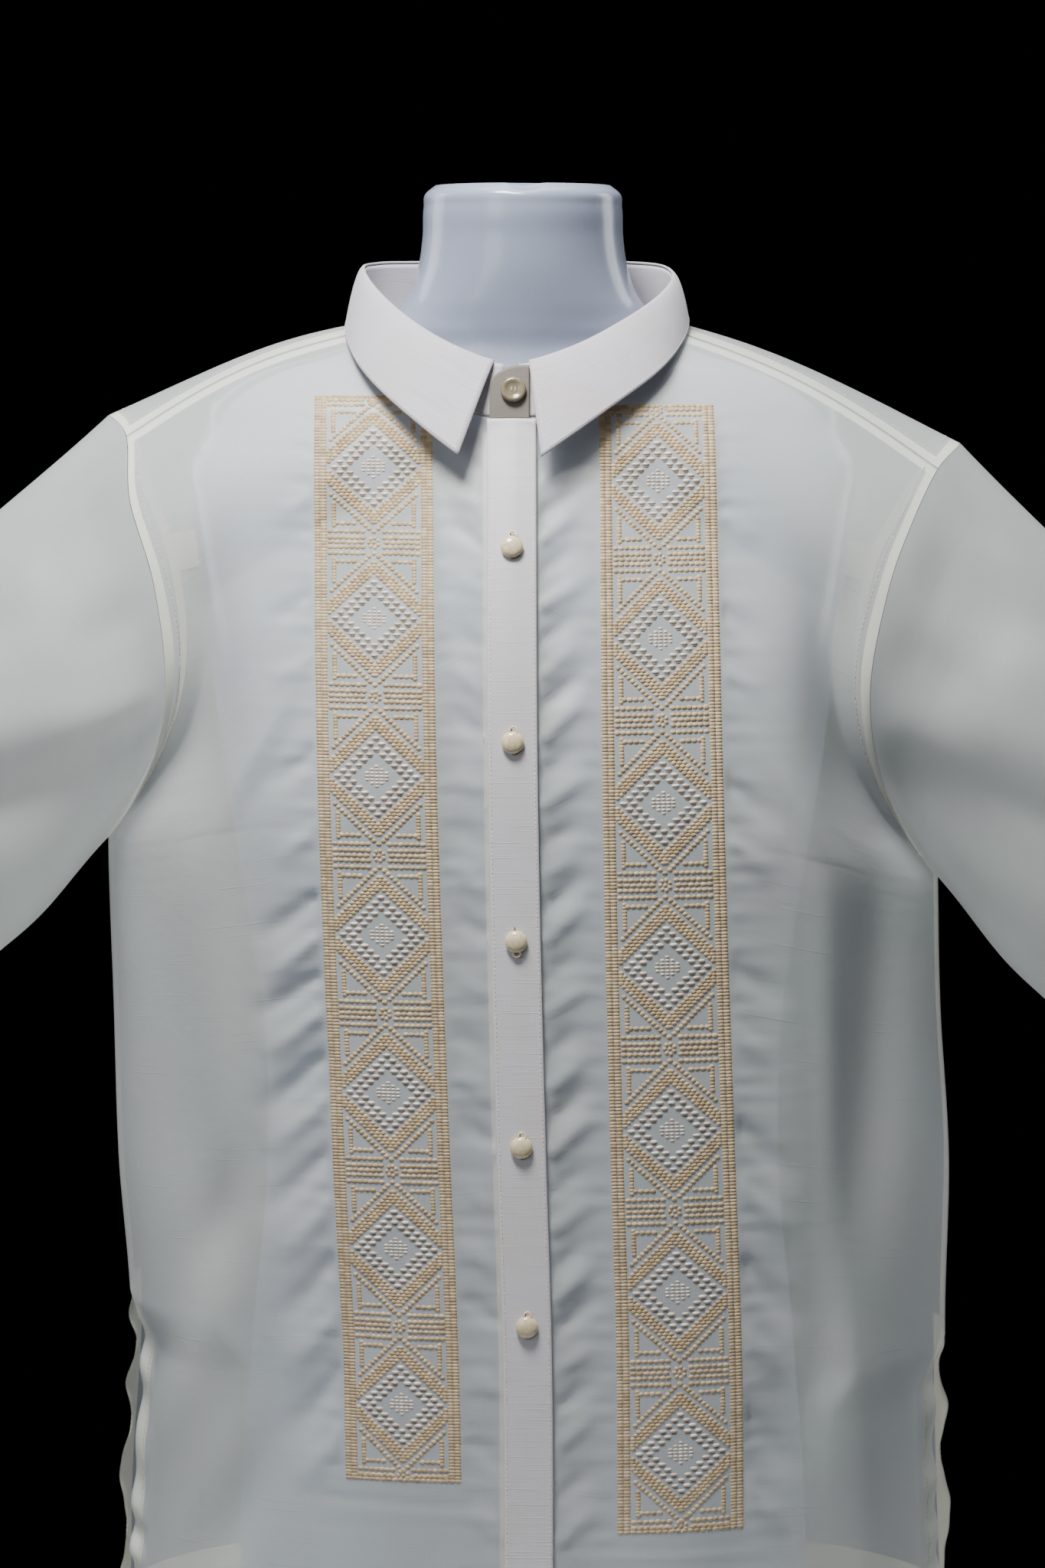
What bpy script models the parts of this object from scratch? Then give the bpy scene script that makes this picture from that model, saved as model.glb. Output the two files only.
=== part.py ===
"""A short-sleeved barong tagalog shirt on the limbless dress form that fills its shoulders and chest.

Metres, +Z up, the front faces -Y. Left and right are the wearer's, so left is +X.
The origin is on the standing surface, under the middle of the part.
The cloth's pieces are open surfaces worked out from short tables, then given a wall by Solidify.
"""

import math
from collections import namedtuple

import bmesh
import bpy
import numpy as np
from mathutils import Matrix, Vector

# Driving sizes of the shirt
HEM_Z = 0.090
NECK_FRONT_Z = 0.796
NECK_BACK_Z = 0.848
WALL = 0.0012
SEAM_GAP = 0.0006
LAYER = 0.0021
BAND_LAYER = 0.0026
PLACKET_WIDTH = 0.0265
PLACKET_BOTTOM_Z = 0.091
BAND_WIDTH = 0.0265
BAND_SHIFT = -0.0025
PANEL_UNDERLAP = 0.006
NECK_PARTING = 0.0015
UNDER_BAND_DROP = 0.007
SLEEVE_HEM_LENGTH = 0.0915
SLEEVE_HEM_DEPTH = 0.054
ARMHOLE_GAP_TOP = 0.0009
ARMHOLE_GAP_UNDER = 0.0072
UNDERARM_PARTING = 0.0006
SLIT_INSET = 0.019
SLIT_FORWARD = 0.026
SLIT_EASE = 0.030
SLIT_TOP = {1: 0.270, -1: 0.297}
SHOULDER_LIFT = 0.0085
SHOULDER_INSET = 0.0010

# The embroidered bands
BAND_REPEATS = 7
EMBROIDERY_WIDTH = 0.064
DIAMOND_RELIEF = 0.0013
ROWS_A_REPEAT = 4
EMBROIDERY_COLUMNS = 4
NECK_CLEARANCE = 0.007

# The collar
COLLAR_SLOPE_OUT = 0.0019
COLLAR_WALL = 0.0014
STAND_SEAM_RISE = 0.0016
STAND_SEAM_IN = 0.0006
STAND_START = 3.0
LEAF_START = 7.0
TAB_REACH_OVER = 0.0120
TAB_REACH = 0.0082
TAB_TOP = 0.93
TAB_ROUND = 0.42
TAB_ROUND_FROM = 0.60
LAP_LAYER = 0.0017

# The buttons
BUTTON_RADIUS = 0.0061
BUTTON_HEIGHT = 0.0042
COLLAR_BUTTON_RADIUS = 0.0070
COLLAR_BUTTON_HEIGHT = 0.0028
COLLAR_BUTTON_SHIFT = 0.001
BUTTON_STEPS = 16
BUTTON_SEAT = 0.0003
STIFF_SHARE = 0.25
BACK_ROW_BEND = 1.8
CREST_ROW_BEND = 1.15

# The dress form
FORM_TOP_Z = 0.924
FORM_MIDDLE_X = -0.0013
FORM_HEART = np.array((0.0, 0.0, 0.60))
NOTCH_RADIUS = 0.026
NOTCH_DEPTH = 0.002

# How finely each piece is divided, as columns and rows
FRONT_COLUMNS = 14
BACK_COLUMNS = 10
SKIRT_ROWS = 20
BACK_SKIRT_ROWS = 15
FRONT_ARM_ROWS = 14
FRONT_NECK_ROWS = 8
BACK_ARM_ROWS = 8
YOKE_ARM_ROWS = 8
SLEEVE_ROWS = 9
STAND_GRID = (36, 2)
LEAF_GRID = (36, 3)
FORM_GRID = (24, 26)

# Where the rows of a panel leave the side seam for the armhole, and the centre line for the neckline
UNDERARM_ROW = 0.60
FRONT_RUN = 0.30
ROUNDING = 1e-6
FRONT_NECK_ROW = UNDERARM_ROW + (1 - UNDERARM_ROW) * FRONT_NECK_ROWS / FRONT_ARM_ROWS
BACK_NECK_ROW = 0.93
YOKE_ROW = 0.80
SHOULDER_SEAM_ANGLE = 25.0
NECK_SEAM_ANGLE = 88.0

# The middle of the box that the part fills lies this far in front of the side seams
BOX_MIDDLE_Y = 0.0145

# The shirt's body, hem to chest: half widths and depths from the side seams' plane
Section = namedtuple("Section", "z left right front back")
BODY = (
    Section(0.090, 0.250, 0.237, 0.150, 0.122),
    Section(0.170, 0.246, 0.235, 0.148, 0.119),
    Section(0.282, 0.243, 0.228, 0.145, 0.114),
    Section(0.373, 0.244, 0.234, 0.142, 0.109),
    Section(0.463, 0.238, 0.236, 0.139, 0.105),
    Section(0.545, 0.236, 0.238, 0.136, 0.104),
    Section(0.610, 0.236, 0.238, 0.133, 0.106),
    Section(0.670, 0.236, 0.238, 0.126, 0.107),
    Section(0.720, 0.236, 0.238, 0.115, 0.103),
    Section(0.760, 0.236, 0.238, 0.100, 0.094),
    Section(0.796, 0.236, 0.238, 0.082, 0.084),
    Section(0.848, 0.236, 0.238, 0.060, 0.064),
)

# The centre front wanders sideways on its way down
Lean = namedtuple("Lean", "z x")
CENTRE_FRONT = (
    Lean(0.090, 0.002),
    Lean(0.300, 0.001),
    Lean(0.400, -0.002),
    Lean(0.600, -0.0065),
    Lean(0.800, -0.0075),
)

# The armhole seam, by the angle from the shoulder's top through the front, underarm and back
Arm = namedtuple("Arm", "angle y x_left z_left x_right z_right")
ARMHOLE = (
    Arm(0, -0.002, 0.246, 0.780, 0.235, 0.796),
    Arm(25, -0.035, 0.230, 0.767, 0.222, 0.785),
    Arm(50, -0.062, 0.214, 0.740, 0.218, 0.752),
    Arm(80, -0.083, 0.198, 0.700, 0.203, 0.705),
    Arm(105, -0.087, 0.189, 0.650, 0.197, 0.657),
    Arm(130, -0.072, 0.195, 0.605, 0.203, 0.618),
    Arm(155, -0.040, 0.214, 0.565, 0.221, 0.582),
    Arm(180, 0.000, 0.236, 0.533, 0.238, 0.556),
    Arm(205, 0.040, 0.215, 0.565, 0.222, 0.582),
    Arm(230, 0.070, 0.201, 0.607, 0.207, 0.620),
    Arm(255, 0.084, 0.198, 0.652, 0.204, 0.660),
    Arm(280, 0.081, 0.206, 0.702, 0.210, 0.708),
    Arm(310, 0.060, 0.223, 0.742, 0.224, 0.755),
    Arm(335, 0.031, 0.238, 0.770, 0.232, 0.787),
)

# The neckline, where the collar is sewn on, by the angle from the front round to the back
Neck = namedtuple("Neck", "angle x y z")
NECKLINE = (
    Neck(0, 0.000, -0.082, 0.796),
    Neck(20, 0.030, -0.077, 0.800),
    Neck(45, 0.062, -0.060, 0.815),
    Neck(70, 0.084, -0.034, 0.832),
    Neck(88, 0.091, -0.010, 0.842),
    Neck(110, 0.087, 0.020, 0.848),
    Neck(140, 0.061, 0.049, 0.849),
    Neck(180, 0.000, 0.064, 0.848),
)

# The collar's fold and its outer edge, by the same angle: the front edges start at 7 degrees
Fold = namedtuple("Fold", "angle x y z_left z_right")
FOLD_LINE = (
    Fold(0, 0.000, -0.0740, 0.825, 0.825),
    Fold(7, 0.0095, -0.0730, 0.826, 0.826),
    Fold(20, 0.029, -0.0690, 0.832, 0.833),
    Fold(45, 0.059, -0.0510, 0.847, 0.850),
    Fold(70, 0.080, -0.0230, 0.862, 0.868),
    Fold(88, 0.0865, 0.002, 0.871, 0.877),
    Fold(110, 0.082, 0.027, 0.878, 0.880),
    Fold(140, 0.057, 0.048, 0.881, 0.881),
    Fold(180, 0.000, 0.058, 0.882, 0.882),
)
Edge = namedtuple("Edge", "angle x_left x_right y z_left z_right")
LEAF_EDGE = (
    Edge(7, 0.016, 0.029, -0.1030, 0.776, 0.777),
    Edge(14, 0.032, 0.040, -0.0965, 0.787, 0.785),
    Edge(25, 0.052, 0.058, -0.0860, 0.801, 0.799),
    Edge(45, 0.077, 0.079, -0.0650, 0.819, 0.817),
    Edge(70, 0.0910, 0.0930, -0.0330, 0.835, 0.835),
    Edge(88, 0.0955, 0.0970, -0.0040, 0.8455, 0.8455),
    Edge(110, 0.0925, 0.0935, 0.026, 0.853, 0.853),
    Edge(140, 0.0670, 0.0670, 0.057, 0.853, 0.853),
    Edge(180, 0.000, 0.000, 0.0735, 0.852, 0.852),
)

# The sleeves' hems in the front view: the underarm end and the top end of each
Hem = namedtuple("Hem", "under_x under_z top_x top_z")
SLEEVE_HEMS = {1: Hem(0.3115, 0.449, 0.4440, 0.575), -1: Hem(0.3145, 0.4775, 0.4400, 0.611)}

# The embroidered bands' middles and ends: distance from the centre front at the top and bottom
Band = namedtuple("Band", "top_x bottom_x top_z bottom_z")
EMBROIDERY = {1: Band(0.0795, 0.0835, 0.803, 0.190), -1: Band(0.0760, 0.0685, 0.808, 0.219)}

# The largest folds: the middle in the front view, the way it runs from level, its half length,
# its half width and how far it stands out, or in where the depth is negative
Crease = namedtuple("Crease", "x z runs half_length half_width depth")
FRONT_CREASES = {
    1: (
        Crease(0.172, 0.680, 98, 0.110, 0.021, -0.0085),
        Crease(0.145, 0.560, 92, 0.170, 0.024, 0.0050),
        Crease(0.195, 0.470, 86, 0.120, 0.022, -0.0070),
        Crease(0.160, 0.330, 100, 0.130, 0.026, 0.0060),
        Crease(0.125, 0.200, 78, 0.100, 0.020, -0.0060),
        Crease(0.190, 0.190, 96, 0.110, 0.020, 0.0050),
        Crease(0.035, 0.180, 84, 0.090, 0.014, -0.0035),
    ),
    -1: (
        Crease(-0.180, 0.675, 84, 0.110, 0.021, -0.0090),
        Crease(-0.145, 0.560, 90, 0.180, 0.022, 0.0055),
        Crease(-0.200, 0.470, 95, 0.120, 0.022, -0.0070),
        Crease(-0.140, 0.400, 58, 0.080, 0.016, -0.0050),
        Crease(-0.165, 0.300, 62, 0.110, 0.019, 0.0060),
        Crease(-0.120, 0.255, 60, 0.110, 0.017, -0.0070),
        Crease(-0.185, 0.170, 80, 0.090, 0.022, 0.0050),
        Crease(-0.040, 0.180, 62, 0.070, 0.015, -0.0045),
    ),
}
BACK_CREASES = (
    Crease(0.175, 0.660, 82, 0.110, 0.022, -0.0080),
    Crease(-0.178, 0.660, 98, 0.110, 0.022, -0.0080),
    Crease(0.120, 0.520, 88, 0.180, 0.024, 0.0060),
    Crease(-0.115, 0.500, 93, 0.180, 0.025, 0.0060),
    Crease(0.060, 0.420, 96, 0.200, 0.022, -0.0060),
    Crease(-0.055, 0.390, 86, 0.190, 0.022, -0.0060),
    Crease(0.000, 0.300, 90, 0.190, 0.020, 0.0050),
    Crease(0.175, 0.280, 80, 0.150, 0.024, -0.0065),
    Crease(-0.175, 0.300, 99, 0.150, 0.024, -0.0060),
)

# Sleeve folds: where they lie along the sleeve and round it, their half length and half width there,
# and how far they stand out
Pucker = namedtuple("Pucker", "along angle half_along half_angle slant depth")
SLEEVE_CREASES = {
    1: (
        Pucker(0.15, 62, 0.16, 17, 30, -0.0050),
        Pucker(0.45, 112, 0.35, 20, -45, -0.0070),
        Pucker(0.60, 60, 0.35, 22, -30, 0.0055),
        Pucker(0.50, 250, 0.40, 22, 30, -0.0065),
        Pucker(0.60, 305, 0.35, 22, 20, 0.0050),
    ),
    -1: (
        Pucker(0.12, 45, 0.14, 15, 20, -0.0040),
        Pucker(0.40, 118, 0.40, 20, -50, -0.0080),
        Pucker(0.55, 70, 0.40, 24, -40, 0.0065),
        Pucker(0.50, 248, 0.40, 22, 35, -0.0065),
        Pucker(0.60, 300, 0.35, 22, 20, 0.0050),
    ),
}

# The dress form, base to neck: half width, the front's and back's depths, and how square it is
Round = namedtuple("Round", "z half front back power")
FORM = (
    Round(0.000, 0.158, 0.104, 0.090, 2.3),
    Round(0.012, 0.164, 0.109, 0.095, 2.3),
    Round(0.060, 0.167, 0.111, 0.099, 2.3),
    Round(0.160, 0.165, 0.109, 0.103, 2.3),
    Round(0.260, 0.158, 0.104, 0.099, 2.3),
    Round(0.370, 0.148, 0.100, 0.088, 2.3),
    Round(0.450, 0.149, 0.103, 0.084, 2.3),
    Round(0.530, 0.160, 0.112, 0.086, 2.4),
    Round(0.600, 0.171, 0.114, 0.091, 2.4),
    Round(0.660, 0.178, 0.107, 0.093, 2.4),
    Round(0.710, 0.184, 0.096, 0.090, 2.3),
    Round(0.745, 0.188, 0.085, 0.084, 2.2),
    Round(0.770, 0.190, 0.077, 0.077, 2.0),
    Round(0.790, 0.180, 0.070, 0.070, 1.85),
    Round(0.805, 0.1760, 0.063, 0.063, 1.7),
    Round(0.820, 0.1516, 0.057, 0.056, 1.6),
    Round(0.833, 0.1040, 0.0535, 0.052, 1.6),
    Round(0.846, 0.0810, 0.055, 0.052, 1.8),
    Round(0.860, 0.067, 0.057, 0.051, 2.0),
    Round(0.876, 0.060, 0.059, 0.050, 2.0),
    Round(0.895, 0.0567, 0.060, 0.048, 2.0),
    Round(0.912, 0.0560, 0.061, 0.047, 2.0),
    Round(0.920, 0.0545, 0.0595, 0.0455, 2.0),
    Round(0.924, 0.0495, 0.0545, 0.0405, 2.0),
)
BODY_POWER = 2.35

# Heights and sideways places of the buttons on the placket
BUTTON_HEIGHTS = (0.727, 0.624, 0.517, 0.405, 0.3065)

# Colours as linear values, with roughness
SHEER = (0.62, 0.64, 0.62, 0.45)
OPAQUE = (0.66, 0.65, 0.66, 0.60)
GOLD = (0.60, 0.48, 0.33, 0.50)
PEARL = (0.72, 0.60, 0.43, 0.22)
GLOSS = (0.66, 0.70, 0.78, 0.18)


def smooth(table, at):
    """The columns of a table after its first, on a smooth curve through its rows, one array a column."""
    table = np.array(table, float)
    keys, values = table[:, 0], table[:, 1:]
    at = np.clip(np.asarray(at, float), keys[0], keys[-1])
    below = np.clip(np.searchsorted(keys, at, side="right") - 1, 0, len(keys) - 2)
    slopes = np.gradient(values, keys, axis=0)
    span = (keys[below + 1] - keys[below])[..., None]
    t = (at - keys[below])[..., None] / span
    p, q = values[below], values[below + 1]
    m, n = slopes[below] * span, slopes[below + 1] * span
    found = p + t * (m + t * (3 * (q - p) - 2 * m - n + t * (2 * (p - q) + m + n)))
    return np.moveaxis(found, -1, 0)


def ring(table):
    """A table by angle that goes all the way round, with a turn's rows repeated at both ends."""
    rows = np.array(table, float)
    turn = np.zeros(rows.shape[1])
    turn[0] = 360.0
    return np.vstack([rows[-3:] - turn, rows, rows[:3] + turn])


def step(low, high, at):
    """0 below low, 1 above high, and a soft rise between."""
    t = np.clip((at - low) / (high - low), 0, 1)
    return t * t * (3 - 2 * t)


def mixed(a, b, t):
    return a + (b - a) * t


def points(x, y, z):
    return np.stack(np.broadcast_arrays(x, y, z), axis=-1)


def armhole(side, angle):
    """Points of the armhole seam on one side, 1 for left and -1 for right."""
    y, x_left, z_left, x_right, z_right = smooth(ring(ARMHOLE), np.mod(angle, 360.0))
    return points(x_left, y, z_left) if side > 0 else points(-x_right, y, z_right)


def centre_x(z):
    return smooth(CENTRE_FRONT, z)[0]


def front_share(angle):
    """How much of the centre front's lean a collar point takes: all at the front, none at the back."""
    return (1 + np.cos(np.radians(angle))) / 2


def neckline(side, angle):
    x, y, z = smooth(NECKLINE, angle)
    return points(side * x + centre_x(z) * front_share(angle), y, z)


def underarm_z(side):
    return float(armhole(side, 180.0)[2])


def side_seam(side, z, is_front):
    """The panel's edge below the underarm. Below the slit's top the front's edge hangs further in."""
    left, right, _, _ = smooth(BODY, z)
    half = left if side > 0 else right
    top = underarm_z(side)
    parting = SEAM_GAP / 2 + UNDERARM_PARTING * step(top - 0.04, top, z)
    if not is_front:
        return points(side * half, parting, z)
    slit_top = SLIT_TOP[side]
    open_share = 1 - step(slit_top - SLIT_EASE, slit_top, z)
    y = -parting - SLIT_FORWARD * open_share
    return points(side * (half - SLIT_INSET * open_share), y, z)


def creases(folds, x, z):
    """How far a panel stands out at each point of the front view, from its largest folds."""
    out = np.zeros_like(x)
    for fold in folds:
        way = math.radians(fold.runs)
        along = (x - fold.x) * math.cos(way) + (z - fold.z) * math.sin(way)
        across = (z - fold.z) * math.cos(way) - (x - fold.x) * math.sin(way)
        fade = np.exp(-((along / fold.half_length) ** 4))
        out += fold.depth * fade * np.exp(-((across / fold.half_width) ** 2))
    return out


def panel_rows(side, v, is_front):
    """The inner and the outer end of each row of a body panel, hem to shoulder seam."""
    neck_row = FRONT_NECK_ROW if is_front else BACK_NECK_ROW
    neck_z = NECK_FRONT_Z if is_front else NECK_BACK_Z
    z = mixed(HEM_Z, neck_z, np.minimum(v / neck_row, 1))
    _, _, front, back = smooth(BODY, z)
    middle = points(centre_x(z), -front, z) if is_front else points(0 * z, back, z)
    round_neck = np.clip((v - neck_row) / (1 - neck_row), 0, 1)
    start = 0.0 if is_front else 180.0
    on_neck = neckline(side, mixed(start, NECK_SEAM_ANGLE, round_neck))
    inner = np.where((v > neck_row + ROUNDING)[..., None], on_neck, middle)
    top = SHOULDER_SEAM_ANGLE if is_front else 360.0 + SHOULDER_SEAM_ANGLE
    up_arm = np.clip((v - UNDERARM_ROW) / (1 - UNDERARM_ROW), 0, 1)
    on_arm = armhole(side, mixed(180.0, top, up_arm))
    side_z = mixed(HEM_Z, underarm_z(side), np.minimum(v / UNDERARM_ROW, 1))
    on_side = side_seam(side, side_z, is_front)
    outer = np.where((v > UNDERARM_ROW + ROUNDING)[..., None], on_arm, on_side)
    return inner, outer


def body_surface(side, u, v, is_front, with_creases=True):
    """The middle of the cloth on half a front or half the back.

    u runs from the centre line or neckline to the side seam or armhole, v from hem to shoulder seam."""
    inner, outer = panel_rows(side, v, is_front)
    turn = u * math.pi / 2
    power = 2 / BODY_POWER
    round_x, round_y = np.sin(turn) ** power, 1 - np.cos(turn) ** power
    rounded = 1 - step(UNDERARM_ROW - 0.02, 0.84, v)
    share_x = mixed(u, round_x, rounded)
    share_y = mixed(u**2.1, round_y, rounded)
    lift = SHOULDER_LIFT * step(0.74, 0.94, v) * np.sin(math.pi * u)
    x = mixed(inner[..., 0], outer[..., 0], share_x)
    y = mixed(inner[..., 1], outer[..., 1], share_y)
    # the back's rows cross the centre level, so that the yoke's seam has no kink there, and the yoke's
    # front edge comes down to the front's
    bend = mixed(BACK_ROW_BEND, CREST_ROW_BEND, step(YOKE_ROW, 0.94, v))
    bend = mixed(bend, 1.0, step(0.95, 1.0, v))
    share_z = share_x if is_front else share_x**bend
    z = mixed(inner[..., 2], outer[..., 2], share_z) + lift
    if not with_creases:
        return points(x, y, z)
    folds = FRONT_CREASES[side] if is_front else BACK_CREASES
    # the folds die out towards seams that other pieces share and towards the shoulder,
    # and the embroidered band and the placket stiffen the front
    held = step(0.0, 0.10, 1 - u) * (1 - step(0.78, 0.90, v))
    if is_front:
        held = held * step(0.06, 0.16, u) * mixed(STIFF_SHARE, 1.0, step(0.40, 0.50, u))
    out = creases(folds, x, z) * held
    lean = np.clip(share_x, 0, 1)
    x = x + side * out * lean * 0.6
    y = y + (-out if is_front else out)
    return points(x, y, z)


def moved_out(surface, u, v, distance):
    """The surface's points moved along its normals, away from the form where the distance is positive."""
    small = 1e-3
    u0, u1 = np.maximum(u - small, 0), np.minimum(u + small, 1)
    v0, v1 = np.maximum(v - small, 0), np.minimum(v + small, 1)
    normal = np.cross(surface(u1, v) - surface(u0, v), surface(u, v1) - surface(u, v0))
    normal /= np.linalg.norm(normal, axis=-1, keepdims=True)
    at = surface(u, v)
    outwards = np.sum(normal * (at - FORM_HEART) * (1, 1, 0.2), axis=-1, keepdims=True)
    return at + normal * np.sign(outwards) * np.asarray(distance)[..., None]


def front_at(side, x, z):
    """The u and v of half a front at points of the front view, by Newton's steps from a first guess."""
    u = np.clip((x - centre_x(z)) * side / 0.30, 0.02, 0.98)
    v = np.clip((z - HEM_Z) / (NECK_FRONT_Z - HEM_Z) * FRONT_NECK_ROW, 0.0, 1.0)
    small = 1e-4
    for _ in range(14):
        here = body_surface(side, u, v, True, False)
        du = (body_surface(side, u + small, v, True, False) - here) / small
        dv = (body_surface(side, u, v + small, True, False) - here) / small
        miss_x, miss_z = x - here[..., 0], z - here[..., 2]
        area = du[..., 0] * dv[..., 2] - dv[..., 0] * du[..., 2]
        area = np.where(np.abs(area) < 1e-9, 1e-9, area)
        u = np.clip(u + np.clip((miss_x * dv[..., 2] - dv[..., 0] * miss_z) / area, -0.2, 0.2), 1e-4, 0.999)
        v = np.clip(v + np.clip((du[..., 0] * miss_z - miss_x * du[..., 2]) / area, -0.2, 0.2), 0.0, 0.9985)
    return u, v


def on_front(side, x, z, distance):
    """Points of the front at places in the front view, moved out by a distance."""
    u, v = front_at(side, x, z)
    return moved_out(lambda a, b: body_surface(side, a, b, True), u, v, distance)


def sleeve_surface(side, along, angle):
    """The middle of a sleeve's cloth, from its armhole seam at along 0 to its hem at along 1."""
    hem = SLEEVE_HEMS[side]
    under = np.array((side * hem.under_x, 0.0, hem.under_z))
    top = np.array((side * hem.top_x, 0.0, hem.top_z))
    middle, long_way = (under + top) / 2, (top - under) / np.linalg.norm(top - under)
    turn = np.radians(angle)[..., None]
    forward = np.array((0.0, -1.0, 0.0))
    at_hem = middle + SLEEVE_HEM_LENGTH * np.cos(turn) * long_way
    at_hem = at_hem + SLEEVE_HEM_DEPTH * np.sin(turn) * forward
    seam = armhole(side, angle)
    run = at_hem - seam
    run /= np.linalg.norm(run, axis=-1, keepdims=True)
    below = (1 - np.cos(turn)) / 2
    seam = seam + run * mixed(ARMHOLE_GAP_TOP, ARMHOLE_GAP_UNDER, below**2)
    along = along[..., None]
    cloth = mixed(seam, at_hem, along)
    # the cap is a little full just past the seam, and the folds fade at both ends
    centre_line = mixed(armhole(side, np.array([0.0, 90.0, 180.0, 270.0])).mean(axis=0), middle, along)
    away = cloth - centre_line
    away /= np.linalg.norm(away, axis=-1, keepdims=True)
    full = 0.004 * np.sin(math.pi * along) ** 2
    out = np.zeros_like(along)
    for fold in SLEEVE_CREASES[side]:
        slid = np.degrees(turn) - fold.angle - fold.slant * (along - fold.along)
        slid = np.mod(slid + 180.0, 360.0) - 180.0
        fade = np.exp(-(((along - fold.along) / fold.half_along) ** 4))
        out = out + fold.depth * fade * np.exp(-((slid / fold.half_angle) ** 2))
    out = out * step(0.0, 0.12, along) * mixed(1.0, 0.45, step(0.8, 1.0, along))
    return cloth + away * (full + out)


def fold_line(side, angle):
    x, y, z_left, z_right = smooth(FOLD_LINE, angle)
    z = z_left if side > 0 else z_right
    return points(side * x + centre_x(z) * front_share(angle), y, z)


def leaf_edge(side, angle):
    x_left, x_right, y, z_left, z_right = smooth(LEAF_EDGE, angle)
    z = z_left if side > 0 else z_right
    x = x_left if side > 0 else x_right
    return points(side * x + centre_x(z) * front_share(angle), y, z)


def round_collar(line, turn, start):
    """A line given for each side by angle, read as one run from the right front round to the left."""
    angle = mixed(start, 180.0, 1 - np.abs(2 * turn - 1))
    left, right = line(1, angle), line(-1, angle)
    return np.where((turn > 0.5)[..., None], left, right)


def stand_surface(turn, up):
    """The collar's stand, from the neckline seam to the fold. It starts at the button's lap."""
    up = up[..., None]
    seam, fold = round_collar(neckline, turn, STAND_START), round_collar(fold_line, turn, STAND_START)
    inwards = seam * (1, 1, 0)
    inwards = inwards / np.linalg.norm(inwards, axis=-1, keepdims=True)
    seam = seam - inwards * STAND_SEAM_IN + np.array((0, 0, STAND_SEAM_RISE))
    return mixed(seam, fold, up)


def leaf_surface(turn, down):
    """The collar's turned-down leaf, from the fold to its outer edge, bowed over the fold."""
    down = down[..., None]
    fold, edge = round_collar(fold_line, turn, LEAF_START), round_collar(leaf_edge, turn, LEAF_START)
    outwards = fold * (1, 1, 0)
    outwards = outwards / np.linalg.norm(outwards, axis=-1, keepdims=True)
    bow = COLLAR_SLOPE_OUT * np.sqrt(down) * (1 - down) * 2
    return mixed(fold + outwards * COLLAR_SLOPE_OUT, edge, down) + outwards * bow


def placket_surface(half_width, shift, distance, drop=0.0005):
    """A strip down the centre front, made from the fronts' points and moved out."""

    def surface(across, up):
        z = mixed(PLACKET_BOTTOM_Z, NECK_FRONT_Z - drop, up)
        x = centre_x(z) + shift + mixed(-half_width, half_width, across)
        middle = np.abs(x - centre_x(z))
        at = on_front(1, centre_x(z) + np.maximum(middle, 0.002), z, np.full_like(z, distance))
        return points(x, at[..., 1], at[..., 2])

    return surface


def band_levels(side, rows):
    """Heights of an embroidered band's rows, the same length of cloth apart."""
    band = EMBROIDERY[side]
    z = np.linspace(band.bottom_z, band.top_z, 200)
    x = centre_x(z) + side * mixed(band.bottom_x, band.top_x, (z - z[0]) / (z[-1] - z[0]))
    at = on_front(side, x, z, np.zeros_like(z))
    run = np.concatenate([[0], np.cumsum(np.linalg.norm(np.diff(at, axis=0), axis=1))])
    return np.interp(np.linspace(0, run[-1], rows + 1), run, z)


def embroidery_surface(side):
    """An embroidered band on a front, with the ring of each diamond raised."""
    band, rows = EMBROIDERY[side], BAND_REPEATS * ROWS_A_REPEAT
    levels = band_levels(side, rows)

    def surface(across, up):
        row = up * rows
        z = np.interp(row, np.arange(rows + 1), levels)
        share = (z - band.bottom_z) / (band.top_z - band.bottom_z)
        middle = centre_x(z) + side * mixed(band.bottom_x, band.top_x, share)
        x = middle + (across - 0.5) * EMBROIDERY_WIDTH
        neck_x, _, neck_z = smooth(NECKLINE, np.linspace(0, NECK_SEAM_ANGLE, 40))
        under_neck = np.interp(np.abs(x - centre_x(z)), neck_x, neck_z) - NECK_CLEARANCE
        z = np.minimum(z, under_neck)
        return on_front(side, x, z, np.full_like(z, BAND_LAYER - WALL / 2))

    return surface


def form_surface(turn, up):
    """The dress form's skin, by the turn round it and the share of its table of rounds."""
    heights = np.array([level.z for level in FORM])
    rows = np.linspace(0, 1, len(heights))
    half, front, back, power = smooth(FORM, np.interp(up, rows, heights))
    angle = turn * 2 * math.pi
    z = np.interp(up, rows, heights)
    share = 2 / power
    across = np.sign(np.sin(angle)) * np.abs(np.sin(angle)) ** share
    depth = -np.sign(np.cos(angle)) * np.abs(np.cos(angle)) ** share
    return points(FORM_MIDDLE_X + half * across, np.where(depth < 0, front, back) * depth, z)


def new_material(name, colour):
    material = bpy.data.materials.new(name)
    material.use_nodes = True
    shader = material.node_tree.nodes["Principled BSDF"]
    shader.inputs["Base Color"].default_value = (*colour[:3], 1.0)
    shader.inputs["Roughness"].default_value = colour[3]
    shader.inputs["Metallic"].default_value = 0.0
    return material


def new_object(name, mesh, colour):
    """An object in the part's collection, carried by the empty that sets the part's middle."""
    mesh.name = name
    mesh.materials.append(new_material(name, colour))
    made = bpy.data.objects.new(name, mesh)
    collection.objects.link(made)
    made.parent = stand_point
    return made


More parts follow.
